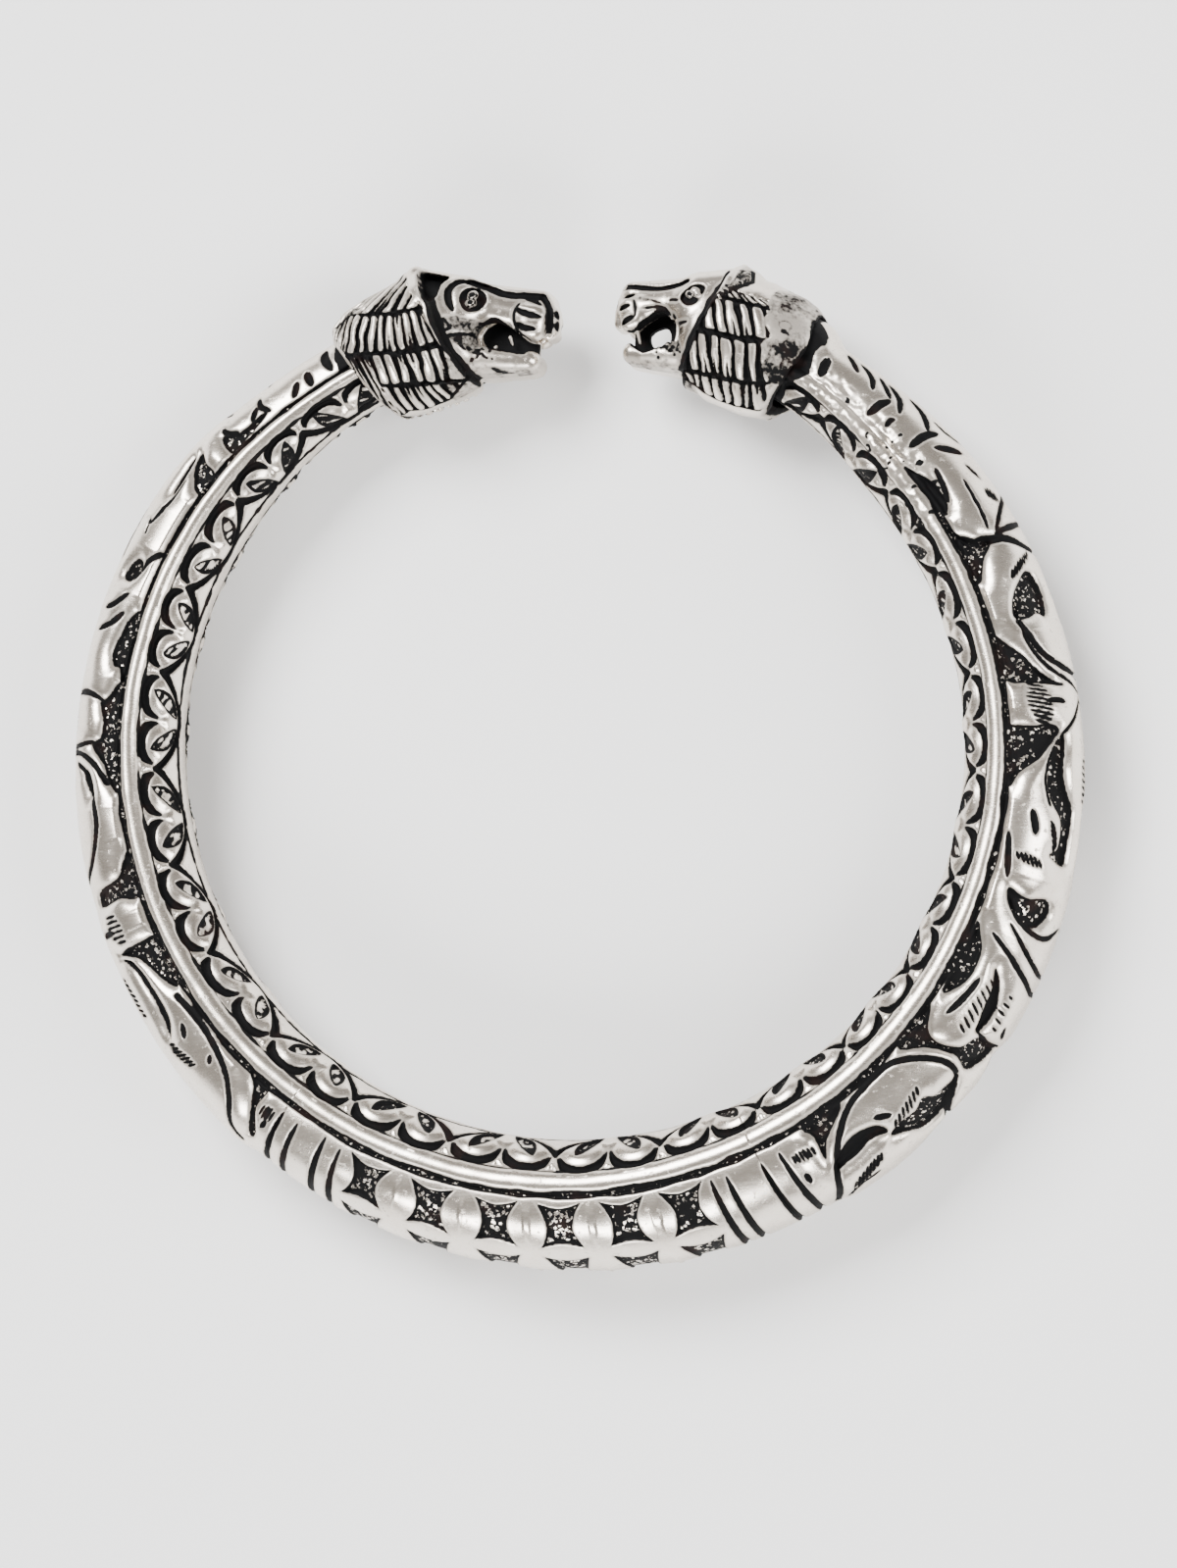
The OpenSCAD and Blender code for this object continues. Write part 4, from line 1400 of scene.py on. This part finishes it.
RIGHT_FACE = FaceCut(
    marks=(
        Mark(E, ((7.0, 2.7), (6.1, 2.66), (4.2, 2.38), (2.64, 2.5), (1.6, 2.8)), 0.34),
        Mark(L, ((6.9, 1.8), (6.5, 1.86), (6.0, 2.0)), 0.28),
        Mark(L, ((7.2, 0.86), (6.8, 0.92), (6.3, 1.05)), 0.3),
        Mark(L, ((6.9, -0.36), (6.5, -0.1), (5.9, 0.14)), 0.38),
        Mark(L, ((5.98, 1.5), (5.8, 0.9), (5.77, 0.2)), 0.12),
        Mark(L, ((5.2, 0.75), (4.2, 0.85), (3.4, 0.72), (2.95, 0.25)), 0.14),
        Mark(L, ((2.3, -0.54), (1.8, -0.6), (1.3, -0.62)), 0.18),
        Mark(L, ((2.7, 0.2), (2.55, 0.0), (2.35, -0.25)), 0.18),
        Mark(L, ((2.2, 1.2), (2.6, 1.3), (3.0, 1.3)), 0.14),
    ),
    grey=(((3.2, 0.9), (5.4, 1.2), (5.6, 1.9), (4.4, 1.7)),
          ((2.0, -1.6), (3.0, -2.0), (3.4, -3.0), (1.8, -2.8))),
    eye=((1.95, 1.5), (1.36, 2.15), (0.5, 2.36), (0.05, 2.03), (0.5, 1.0), (1.1, 0.7), (1.65, 0.9)),
    eye_balls=(Ball(1.15, 1.6, 3.45, 0.3), Ball(0.7, 1.8, 3.55, 0.34), Ball(0.45, 1.45, 3.7, 0.24)),
    teeth=((Ball(5.75, -0.85, 1.4, 0.17), Ball(5.5, -1.8, 1.4, 0.11)),),
    ear=((Ball(-2.41, 4.35, 0.9, 0.24), Ball(-2.2, 3.6, 2.5, 0.38), Ball(-1.9, 2.75, 3.5, 0.38),
          Ball(-1.4, 1.1, 4.8, 0.26)),
         (Ball(-2.5, 4.2, 1.0, 0.3), Ball(-2.95, 3.6, 2.35, 0.34), Ball(-3.15, 2.7, 3.35, 0.36)),
         (Ball(-2.45, 4.0, 1.4, 0.3), Ball(-2.65, 3.4, 2.6, 0.44), Ball(-2.85, 2.4, 3.6, 0.42)),
         (Ball(-2.4, 4.0, 1.4, 0.3), Ball(-2.4, 3.3, 2.75, 0.44), Ball(-2.4, 2.1, 3.95, 0.44)),
         (Ball(-3.0, 2.5, 3.5, 0.28), Ball(-2.3, 1.9, 4.2, 0.32), Ball(-1.6, 1.25, 4.75, 0.24))),
    ear_ground=0.36,
    nostrils=(Ball(7.75, 1.3, 0.8, 0.34),),
    mouth=((3.4, 0.45), (4.1, 0.42), (5.1, -0.2), (5.9, -0.9), (7.2, -1.0), (9.4, -1.0), (9.4, -1.75),
           (6.5, -1.7), (6.0, -2.0), (5.5, -2.35), (5.0, -2.6), (4.2, -2.4), (3.5, -2.0), (3.15, -1.3),
           (3.05, -0.4)),
    hole=((5.0, -0.85), (4.0, -0.3), (3.5, -0.5), (3.3, -1.15), (3.6, -1.8), (4.7, -1.85)),
    wall_to=6.2,
)


def flat_reach(u: Array, v: Array, line: Array, closed: bool) -> tuple[Array, Array, Array]:
    """Distance in a plane from points to a line.

    Args:
        u: First coordinate of the points.
        v: Second coordinate of the points.
        line: Points of the line.
        closed: True for an outline.

    Returns:
        The distance, the place along the line from 0 to 1, and whether each point is inside.
    """
    best, place = np.full(u.shape, FAR_MM), np.zeros(u.shape)
    inside = np.zeros(u.shape, bool)
    n = len(line)
    for k in range(n if closed else n - 1):
        p, q = line[k], line[(k + 1) % n]
        e = q - p
        t = np.clip(((u - p[0]) * e[0] + (v - p[1]) * e[1]) / (e @ e + TINY), 0, 1)
        d = np.hypot(u - p[0] - t * e[0], v - p[1] - t * e[1])
        place = np.where(d < best, (k + t) / (n - 1), place)
        best = np.minimum(best, d)
        if closed and p[1] != q[1]:
            inside ^= ((p[1] > v) != (q[1] > v)) & (u < p[0] + (v - p[1]) * e[0] / (q[1] - p[1]))
    return best, place, inside


@dataclass
class LionHead:
    """A cast lion head: a mane in four tiers and an open-mouthed face.

    The head's frame has X along the tube away from the band, Y to the outside of the ring.
    """

    name: str
    end: float
    nod: float
    mane_cut: ManeCut
    face_cut: FaceCut
    stretch: float = 1.0
    seed: int = 3
    face_at: tuple[float, float] = (9.4, -0.55)
    girth: float = 16.3
    reach: float = 1.0
    step: float = 0.26
    strand_deep: float = 0.34
    strand_swell: float = 0.14
    tier_deep: float = 0.4
    mark_deep: float = 0.34
    play: float = 0.1
    relief_mm: float = 2.75
    flare: float = 0.0
    socket_deep: float = 4.4
    beard_from: float = -5.3
    cell_mm: float = 0.117

    def strands(self, tier: Tier, number: int, x: Array, t: Array, tall: Array) -> tuple[Array, Array]:
        """Strands of one tier.

        Args:
            tier: The tier.
            number: Its place from the crest.
            x: Place along the mane.
            t: Place down the tier from 0 to 1.
            tall: The tier's height there in millimetres.

        Returns:
            Distance into the nearest groove, and the strands' roundness.
        """
        rng = np.random.default_rng(self.seed * 11 + number)
        first, last = tier.pitch
        grow = (last - first) / 9
        lean = np.interp(x, (1, 9), tier.lean)
        bow = 0.06 * np.sin(math.pi * t) * math.copysign(1, tier.lean[0] - tier.lean[1] + 0.01)
        wave = 0.07 * wander(x, t * tall, 0.9, self.seed * 10 + number)
        at = x + lean * (t - 0.5) + bow + wave
        s = np.log1p(grow * at / first) / grow if abs(grow) > 1e-3 else at / first
        pitch = np.interp(x, (0, 9), tier.pitch)
        shift, slope, wide, fork = (rng.uniform(-1, 1, 64) for _ in range(4))
        base = np.floor(s).astype(int)
        groove = np.full(x.shape, -1.0)
        gap = np.full(x.shape, 9.0)
        for step in (-1, 0, 1, 2):
            k = (base + step) % 64
            edge = base + step + 0.17 * shift[k] + 0.16 * slope[k] * (t - 0.5)
            off = np.abs(s - edge) * pitch
            toward = np.where(slope[k] > 0, t, 1 - t)
            width = (0.086 + 0.035 * wide[k]) * (0.55 + 0.95 * toward ** 1.6) * pitch / 0.6
            width = width * (0.55 + 0.45 * ease((x - 1.2) / 1.8))
            tip = np.where(wide[k] > 0.35, (1 - toward) * tall - 0.35, 1.0)
            here = np.minimum(width - off, 0.5 * tip)
            groove = np.maximum(groove, here)
            gap = np.minimum(gap, off)
            # A short notch splits some strands from one end
            middle = edge + 0.5
            reach = 0.34 * tall
            from_end = np.where(fork[k] > 0, t, 1 - t) * tall
            notch = 0.09 * (1 - from_end / reach) - np.abs(s - middle) * pitch
            groove = np.maximum(groove, np.where(np.abs(fork[k]) > 0.62, notch, -1))
        end = np.minimum(t, 1 - t) * tall
        groove = groove + 0.1 * ease(1 - end / 0.4) * (gap < 0.3)
        return groove, 1 - np.clip(1 - gap / (0.5 * pitch), 0, 1) ** 2

    def tiers(self, x: Array, c: Array) -> tuple[Array, Array, Array]:
        """All strands, and the black lines between their tiers.

        Args:
            x: Place along the mane.
            c: Place round it.

        Returns:
            Distance into the nearest groove, how far the metal sinks and how far it swells.
        """
        black = np.full(c.shape, -1.0)
        sink, bulge = np.zeros_like(c), np.zeros_like(c)
        upper = look_up(self.mane_cut.top, x)
        for number, tier in enumerate(self.mane_cut.tiers):
            lower = look_up(tier.edge, x)
            span = np.maximum(lower - upper, 0.01)
            t = (c - upper) / span
            here = (t >= 0) & (t < 1) & (span > 0.02)
            groove, roundness = self.strands(tier, number, x, np.clip(t, 0, 1), span * self.girth)
            black = np.where(here, np.maximum(black, groove), black)
            sink = np.where(here, self.strand_deep * ease(groove / 0.14 + 0.6), sink)
            bulge = np.where(here, self.strand_swell * roundness, bulge)
            line = tier.groove / 2 * (1 + 0.5 * wander(x, x * 0, 0.7, self.seed * 5 + number))
            line = line - np.abs(c - lower + 0.004 * wander(x, x * 0, 0.9, number)) * self.girth
            line = np.where(lower < 0.985, line, -1)
            black = np.maximum(black, line)
            sink = np.maximum(sink, self.tier_deep * ease(line / 0.18 + 0.5))
            upper = lower
        return black, sink, bulge

    def worn_metal(self, x: Array, c: Array) -> Array:
        """Grey, spotted metal with a dent and a dark patch.

        Args:
            x: Place along the mane.
            c: Place round it.

        Returns:
            The dark field of such metal.
        """
        round_mm = c * self.girth
        spots = 0.55 * (wander(x, round_mm, 0.9, self.seed + 21)
                        + 0.6 * wander(x, round_mm, 0.36, self.seed + 22) - 1.16)
        smear = -0.085 + 0.04 * wander(x, round_mm, 1.1, self.seed + 23)
        smear = smear + 0.04 * ease((c - 0.38) / 0.12) * ease((0.7 - c) / 0.12) * ease((3.6 - x) / 1.5)
        dent = 0.12 - np.abs(np.hypot(x - 3.4, (c - 0.36) * self.girth) - 0.45)
        smear = np.minimum(np.maximum(smear, dent - 0.13), -0.035)
        return np.maximum(spots, smear)

    def mane_form(self, block: Block) -> None:
        """Add the mane: its strands, the plain rim before them and the smooth rear.

        Args:
            block: The head's cells.
        """
        cut = self.mane_cut
        x = block.X / self.stretch
        table = np.array(cut.form)
        middle, half, depth = (np.interp(x, table[:, 0], table[:, k]) for k in (1, 2, 3))
        sy, sz = (block.Y - middle) / half, block.Z / (depth * TUBE.half_depth)
        rho = np.sqrt(sy * sy + sz * sz) + 1e-6
        base = (rho - 1) * np.sqrt((block.Y - middle) ** 2 + block.Z ** 2) / rho
        c = 0.5 - np.arctan2(sy, sz) / math.pi
        round_mm = c * self.girth
        black, sink, bulge = self.tiers(x, c)
        front, rim, back = (look_up(edge, c) for edge in (cut.front, cut.rim, cut.rear))
        shake = 0.1 * wander(round_mm, c * 0, 0.7, self.seed)
        plain = ease((x - front + rim + shake) / 0.14)
        worn = look_up(cut.worn, c) + 0.35 * wander(round_mm, c * 0, 0.9, self.seed + 4)
        rear = 1 - ease((x - np.maximum(back + 0.12, worn)) / 0.3)
        first, last = look_up(cut.top, x), look_up(cut.tiers[-1].edge, x)
        beard = ease((c - last) * self.girth / 0.1)
        crest = ease((first - c) * self.girth / 0.1) * (first > 0.1)
        hush = np.maximum.reduce([plain, rear, beard, crest])
        black = np.where((hush > 0.5) & (black < 0.05 + 9 * (hush < 0.99)), -0.3, black)
        black = np.where(hush > 0.98, -0.3, black)
        beard_line = 0.5 * cut.tiers[-1].groove - np.abs(c - last) * self.girth
        black = np.where((plain < 0.5) & (rear < 0.5), np.maximum(black, beard_line), black)
        sink = sink * (1 - hush)
        bulge = bulge * (1 - hush) + 0.2 * plain * ease(rim / 0.5)
        form = base + sink - bulge + 0.05 * wander(x, round_mm, 1.3, self.seed + 9)
        for end, soft in ((x - front, 0.3), (back - x, 0.85)):
            end = end * self.stretch
            h = np.clip(0.5 - 0.5 * (form - end) / soft, 0, 1)
            form = form * (1 - h) + end * h + soft * h * (1 - h)
        # The black step in front of the rim, and the dark rear edge
        dark = np.where(x - front < -0.1, black, -1)
        step = self.step + 0.08 * wander(round_mm, c * 0, 0.9, self.seed + 2)
        dark = np.maximum(dark, step - np.abs(x - front - 0.3 * self.step))
        dark = np.maximum(dark, np.where(c > 0.1, back + 0.02 - x, -1))
        # The stretch at the rear where the mane is worn away
        old = rear * (look_up(cut.worn, c) > back + 0.4)
        dark = np.maximum(dark, np.where(old > 0.5, self.worn_metal(x, c), -1))
        lumps = old * 0.05 * wander(x, round_mm, 0.55, self.seed + 24)
        block.form = form.astype(np.float32) + lumps.astype(np.float32)
        block.dark = np.maximum(block.dark, dark).astype(np.float32)

    def face_form(self, block: Block) -> None:
        """Add the face, its open mouth and its carved lines.

        Args:
            block: The head's cells.
        """
        block.face_frame((self.stretch * self.face_at[0], self.face_at[1]), self.nod)
        true_u, block.U = block.U, block.U / self.reach
        for balls, soft in SKULL_MIDDLE:
            block.join(block.chain(balls, True), soft)
        for balls, soft in SKULL_SIDES:
            block.join(block.chain(balls), soft)
        block.U = true_u
        self.mouth(block)
        self.ear(block)
        self.marks(block)
        for ball in self.face_cut.nostrils:
            hole = block.rod(ball, ball)
            block.carve(hole, 0.12)
            block.dark = np.maximum(block.dark, 0.02 - hole)

    def ear(self, block: Block) -> None:
        """Set the ear, bright at its front edge and painted a grey shade inside, on black ground.

        Args:
            block: The head's cells.
        """
        cut = self.face_cut
        parts = [block.chain(balls) for balls in cut.ear]
        ear = np.minimum.reduce(parts)
        if cut.ear_ground:
            low = block.V < cut.ear_ground_top
            ground = np.where((ear < cut.ear_ground) & low, cut.ear_ground - ear, -1)
            block.dark = np.maximum(block.dark, ground)
            block.dark = np.where((ear < 0.9) & ~low, np.minimum(block.dark, -0.2), block.dark)
        block.join(ear, 0.16)
        # Painted shade: the ear apart from its front edge is greyed and mottled, standing for the shade of
        # its cup, which the rods do not hollow out.
        hollow = -0.07 + 0.03 * wander(block.U, block.V, 0.5, self.seed + 61)
        block.dark = np.where(ear < 0.06, np.where(parts[0] < 0.12, -0.4, hollow), block.dark)

    def mouth(self, block: Block) -> None:
        """Open the mouth, with a web between the jaws, and set the teeth.

        Args:
            block: The head's cells.
        """
        cut = self.face_cut
        u, v = block.U[:, :, 0], block.V[:, :, 0]
        best, _, inside = flat_reach(u, v, rounded(cut.mouth, True), True)
        tool = np.where(inside, -best, best)[:, :, None].astype(np.float32)
        block.carve(tool, 0.22)
        block.dark = np.maximum(block.dark, np.where(tool < 0.1, BLACK, 0.05 - tool))
        web = np.maximum(tool - 0.5, np.maximum(block.Z - 0.42, block.U - cut.wall_to))
        if cut.hole:
            best, _, inside = flat_reach(u, v, rounded(cut.hole, True), True)
            web = np.maximum(web, np.where(inside, best, -best)[:, :, None])
        block.join(web, 0.05)
        for root, tip in cut.teeth:
            tooth = block.rod(root, tip)
            block.dark = np.where(tooth < 0.08, -0.12, block.dark)
            block.join(tooth, 0.08)

    def marks(self, block: Block) -> None:
        """Cut the marks into the side of the face, set the eye, darken patches of the face to grey, and paint
        shade along the underside of the jaw.

        Args:
            block: The head's cells.
        """
        cut = self.face_cut
        u, v = block.U[:, :, 0], block.V[:, :, 0]
        side = ease((block.Z - 0.7) / 0.6)
        shake = 0.03 * wander(u, v, 0.4, self.seed)

        def press(deep: Array, depth: float) -> None:
            """Sink a shape into the side and blacken it.

            Args:
                deep: Distance into the shape.
                depth: How far it is sunk, in millimetres.
            """
            wide = deep[:, :, None]
            block.form = (block.form + depth * ease(wide / 0.14 + 0.6) * side).astype(np.float32)
            block.dark = np.maximum(block.dark, np.where(side > 0.5, wide, -1)).astype(np.float32)

        for mark in cut.marks:
            closed = mark.tool is Tool.HOLLOW
            best, place, inside = flat_reach(u, v, rounded(mark.points, closed), closed)
            if closed:
                press(np.where(inside, best, -best) + shake, mark.width)
            else:
                press(mark.width / 2 * taper(mark.tool, place) - best + shake,
                      self.mark_deep * min(1, mark.width / 0.3))
        best, _, inside = flat_reach(u, v, rounded(cut.eye, True), True)
        press(np.where(inside, best, -best), 0.4)
        for ball in cut.eye_balls:
            form = block.rod(ball, Ball(ball.along + 0.15, ball.up + 0.05, ball.side, ball.r))
            block.dark = np.where(form < 0.03, -0.25, block.dark)
            block.join(form, 0.04)
        # Patches of the face darkened to a mottled grey inside their outlines.
        for outline in cut.grey:
            best, _, inside = flat_reach(u, v, rounded(outline, True), True)
            patch = np.where(inside, best, -best) + 3 * shake
            level = np.where(side > 0.5, (-0.3 + 0.25 * ease(patch / 0.2))[:, :, None], -1)
            block.dark = np.maximum(block.dark, level).astype(np.float32)
        # Painted shade along the underside of the jaw: forward of the pivot, the metal greys towards the
        # jaw's lower edge.
        under = np.where(u > 0.8, -0.3 + 0.225 * ease((-2.7 - v) / 0.7) + shake, -1)[:, :, None]
        block.dark = np.maximum(block.dark, under).astype(np.float32)
        rng = np.random.default_rng(self.seed + 40)
        for _ in range(22):
            at = rng.normal((3.0, -2.3), (0.6, 0.45))
            press(rng.uniform(0.05, 0.11) - np.hypot(u - at[0], v - at[1]), 0.1)

    def socket(self, block: Block) -> None:
        """Bore the socket that keeps clear of the band's end.

        Args:
            block: The head's cells.
        """
        at, ahead, out = TUBE.end_frame(self.end)
        past = np.linspace(-0.5, 5.0, 12)[:, None] / (TUBE.ring_r - TUBE.tube_w / 2)
        b = self.end + math.copysign(1, self.end) * np.degrees(past)
        line = TUBE.point(b, np.zeros((1, 1)), np.zeros_like(b))[:, 0, :2] / MM - at
        middle = np.interp(block.X, line @ ahead, line @ out)
        half = np.interp(block.X, line @ ahead, TUBE.width(b)[:, 0] / 2)
        y, z = block.Y - middle, block.Z / TUBE.section_ratio
        a = np.degrees(np.arctan2(z, y))
        relief = (TUBE.ridge_rise * np.clip(1 - np.abs((a - TUBE.ridge_peak) / 15) ** 3, 0, 1)
                  + 0.2 * ease((a - 116) / 8) + 0.1 + self.flare * ease((75 - a) / 30))
        relief = np.where(block.X < self.relief_mm, relief, -0.3)
        bore = np.sqrt(y * y + z * z) - half - relief - self.play
        tool = np.maximum(bore, block.X - self.socket_deep)
        block.form = np.maximum(block.form, -tool).astype(np.float32)
        block.dark = np.maximum(block.dark, np.where(tool < 0.15, BLACK, -1)).astype(np.float32)

    def placed(self, points: Array) -> Array:
        """Set points of the head's frame on the band's end.

        Args:
            points: The points in millimetres.

        Returns:
            The points in metres.
        """
        at, ahead, out = TUBE.end_frame(self.end)
        return np.stack([at[0] + points[:, 0] * ahead[0] + points[:, 1] * out[0],
                         at[1] + points[:, 0] * ahead[1] + points[:, 1] * out[1],
                         points[:, 2] + TUBE.half_depth], -1) * MM

    @staticmethod
    def texture(place: Array, faces: Array) -> Array:
        """Lay the head's upper and under sides beside each other on the texture.

        Args:
            place: Points of the mesh.
            faces: Corners of the faces.

        Returns:
            Two numbers for each corner.
        """
        lo, hi = place.min(0), place.max(0)
        flat = (place[:, :2] - lo[:2]) / (hi[:2] - lo[:2])
        normal = np.cross(place[faces[:, 2]] - place[faces[:, 0]], place[faces[:, 3]] - place[faces[:, 1]])
        uv = flat[faces] * np.array([0.98, 0.48]) + np.array([0.01, 0.01])
        uv[normal[:, 2] < 0, :, 1] += 0.5
        return uv

    def build(self, finish: bpy.types.Material) -> bpy.types.Object:
        """Carve the head and set it on the band's end.

        Args:
            finish: Its material.

        Returns:
            The object.
        """
        block = Block(cell=self.cell_mm)
        self.mane_form(block)
        self.face_form(block)
        self.socket(block)
        points, faces = block.skin()
        dark = block.sample(block.dark, points)
        beard_under = (points[:, 2] < 0) & (points[:, 1] < self.beard_from)
        dark = np.where(beard_under, np.minimum(dark, -0.3), dark)
        if self.end > 0:
            faces = faces[:, ::-1]
        place = self.placed(points)
        fields = {"dark": dark, "stipple": np.zeros(len(points))}
        return mesh_object(self.name, place, faces, fields, finish, self.texture(place, faces))


# Studio

@dataclass(frozen=True)
class SoftBox:
    """A soft box: its place and size in metres, and its power in watts."""

    name: str
    at: tuple[float, float, float]
    wide: float
    tall: float
    power: float

    def hang(self) -> None:
        """Hang it so that it looks at the ring."""
        data = bpy.data.lights.new(self.name, "AREA")
        data.shape = "RECTANGLE"
        data.size, data.size_y, data.energy = self.wide, self.tall, self.power
        made = bpy.data.objects.new(self.name, data)
        made.location = self.at
        made.rotation_euler = (-Vector(self.at)).to_track_quat("-Z", "Y").to_euler()
        bpy.context.scene.collection.objects.link(made)


@dataclass(frozen=True)
class Studio:
    """The camera at the photograph's angle, a pale floor and soft lights."""

    pixel_mm: float = 0.07596
    size: tuple[int, int] = (1200, 1599)
    distance_mm: float = 400.0
    tilt: float = 16.5
    azimuth: float = -31.0
    ring_at: tuple[float, float] = (580.2, 779.7)
    sensor_mm: float = 24.0
    floor_half: float = 1.6
    floor_colour: str = "f7f7f7"
    floor_rough: float = 0.9
    air_colour: str = "dddad6"
    air_strength: float = 0.52
    boxes: tuple[SoftBox, ...] = (
        SoftBox("soft_box_top", (-0.35, 0.45, 0.75), 0.5, 0.5, 18.0),
        SoftBox("soft_box_side", (0.75, -0.1, 0.45), 0.35, 0.6, 9.0),
        SoftBox("soft_box_front", (-0.2, -0.8, 0.5), 0.7, 0.3, 12.0),
    )

    def camera(self) -> None:
        """Place the camera so that the ring lands where the photograph has it."""
        t, a = math.radians(self.tilt), math.radians(self.azimuth)
        back = Vector((math.sin(t) * math.cos(a), math.sin(t) * math.sin(a), math.cos(t)))
        right = (-back).cross(Vector((0, 1, 0))).normalized()
        up = right.cross(-back)
        data = bpy.data.cameras.new("camera")
        data.sensor_fit = "VERTICAL"
        data.sensor_height = self.sensor_mm
        tall = self.pixel_mm * self.size[1]
        data.lens = self.sensor_mm * self.distance_mm / tall
        data.shift_x = -(self.ring_at[0] - self.size[0] / 2) / self.size[1]
        data.shift_y = (self.ring_at[1] - self.size[1] / 2) / self.size[1]
        data.clip_start, data.clip_end = 0.01, 10.0
        made = bpy.data.objects.new("camera", data)
        centre = Vector((0, 0, TUBE.half_depth)) * MM
        turn = Matrix((right, up, back)).transposed().to_4x4()
        made.matrix_world = Matrix.Translation(centre + back * self.distance_mm * MM) @ turn
        bpy.context.scene.collection.objects.link(made)
        bpy.context.scene.camera = made

    def floor(self) -> None:
        """Lay a plain pale floor of matt white paper, which shows soft shadows only."""
        mesh = bpy.data.meshes.new("floor")
        r = self.floor_half
        mesh.from_pydata([(-r, -r, 0), (r, -r, 0), (r, r, 0), (-r, r, 0)], [], [(0, 1, 2, 3)])
        made = bpy.data.objects.new("floor", mesh)
        paper = bpy.data.materials.new("matt_white_paper")
        paper.use_nodes = True
        shader = paper.node_tree.nodes["Principled BSDF"]
        shader.inputs["Base Color"].default_value = linear(self.floor_colour)
        shader.inputs["Roughness"].default_value = self.floor_rough
        mesh.materials.append(paper)
        bpy.context.scene.collection.objects.link(made)

    def air(self) -> None:
        """Fill the room with even, slightly warm light."""
        world = bpy.data.worlds.new("studio")
        world.use_nodes = True
        shade = world.node_tree.nodes["Background"]
        shade.inputs["Color"].default_value = linear(self.air_colour)
        shade.inputs["Strength"].default_value = self.air_strength
        bpy.context.scene.world = world

    def build(self) -> None:
        """Set the whole stage."""
        self.camera()
        self.floor()
        self.air()
        for box in self.boxes:
            box.hang()


# Where the band is divided round the ring, beside the first and third cross-grooves
SEAMS = (-38.0, 26.0)


def hand_over(made: bpy.types.Object, node: str) -> None:
    """Tie a piece to the part, and report it.

    Args:
        made: The piece.
        node: The solid that it stands for.
    """
    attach(made, "root")
    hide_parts(node)
    LOG.info("%s: %d faces", made.name, len(made.data.polygons))


def main() -> None:
    """Build every piece in order and report it."""
    logging.basicConfig(level=logging.INFO, format="%(message)s")
    Studio().build()
    sheet, cast = SHEET.material(), CAST.material()
    band = (
        BandPiece("band_left", TUBE.left_end, SEAMS[0], 575, into_head=(2.5, 0)),
        BandPiece("band_front", SEAMS[0], SEAMS[1], 400, top_steps=120, under_steps=70),
        BandPiece("band_right", SEAMS[1], TUBE.right_end, 572, into_head=(0, 2.9)),
    )
    left = LionHead("lion_head_left", TUBE.left_end, 34.5, LEFT_MANE, LEFT_FACE)
    right = LionHead("lion_head_right", TUBE.right_end, 31.0, RIGHT_MANE, RIGHT_FACE, 1.06,
                     seed=5, reach=0.91, step=0.4, relief_mm=3.1, flare=1.0, cell_mm=0.105)
    for piece in band:
        hand_over(piece.build(sheet), "band")
    hand_over(left.build(cast), "head_left")
    hand_over(right.build(cast), "head_right")


if __name__ == "__main__":
    main()
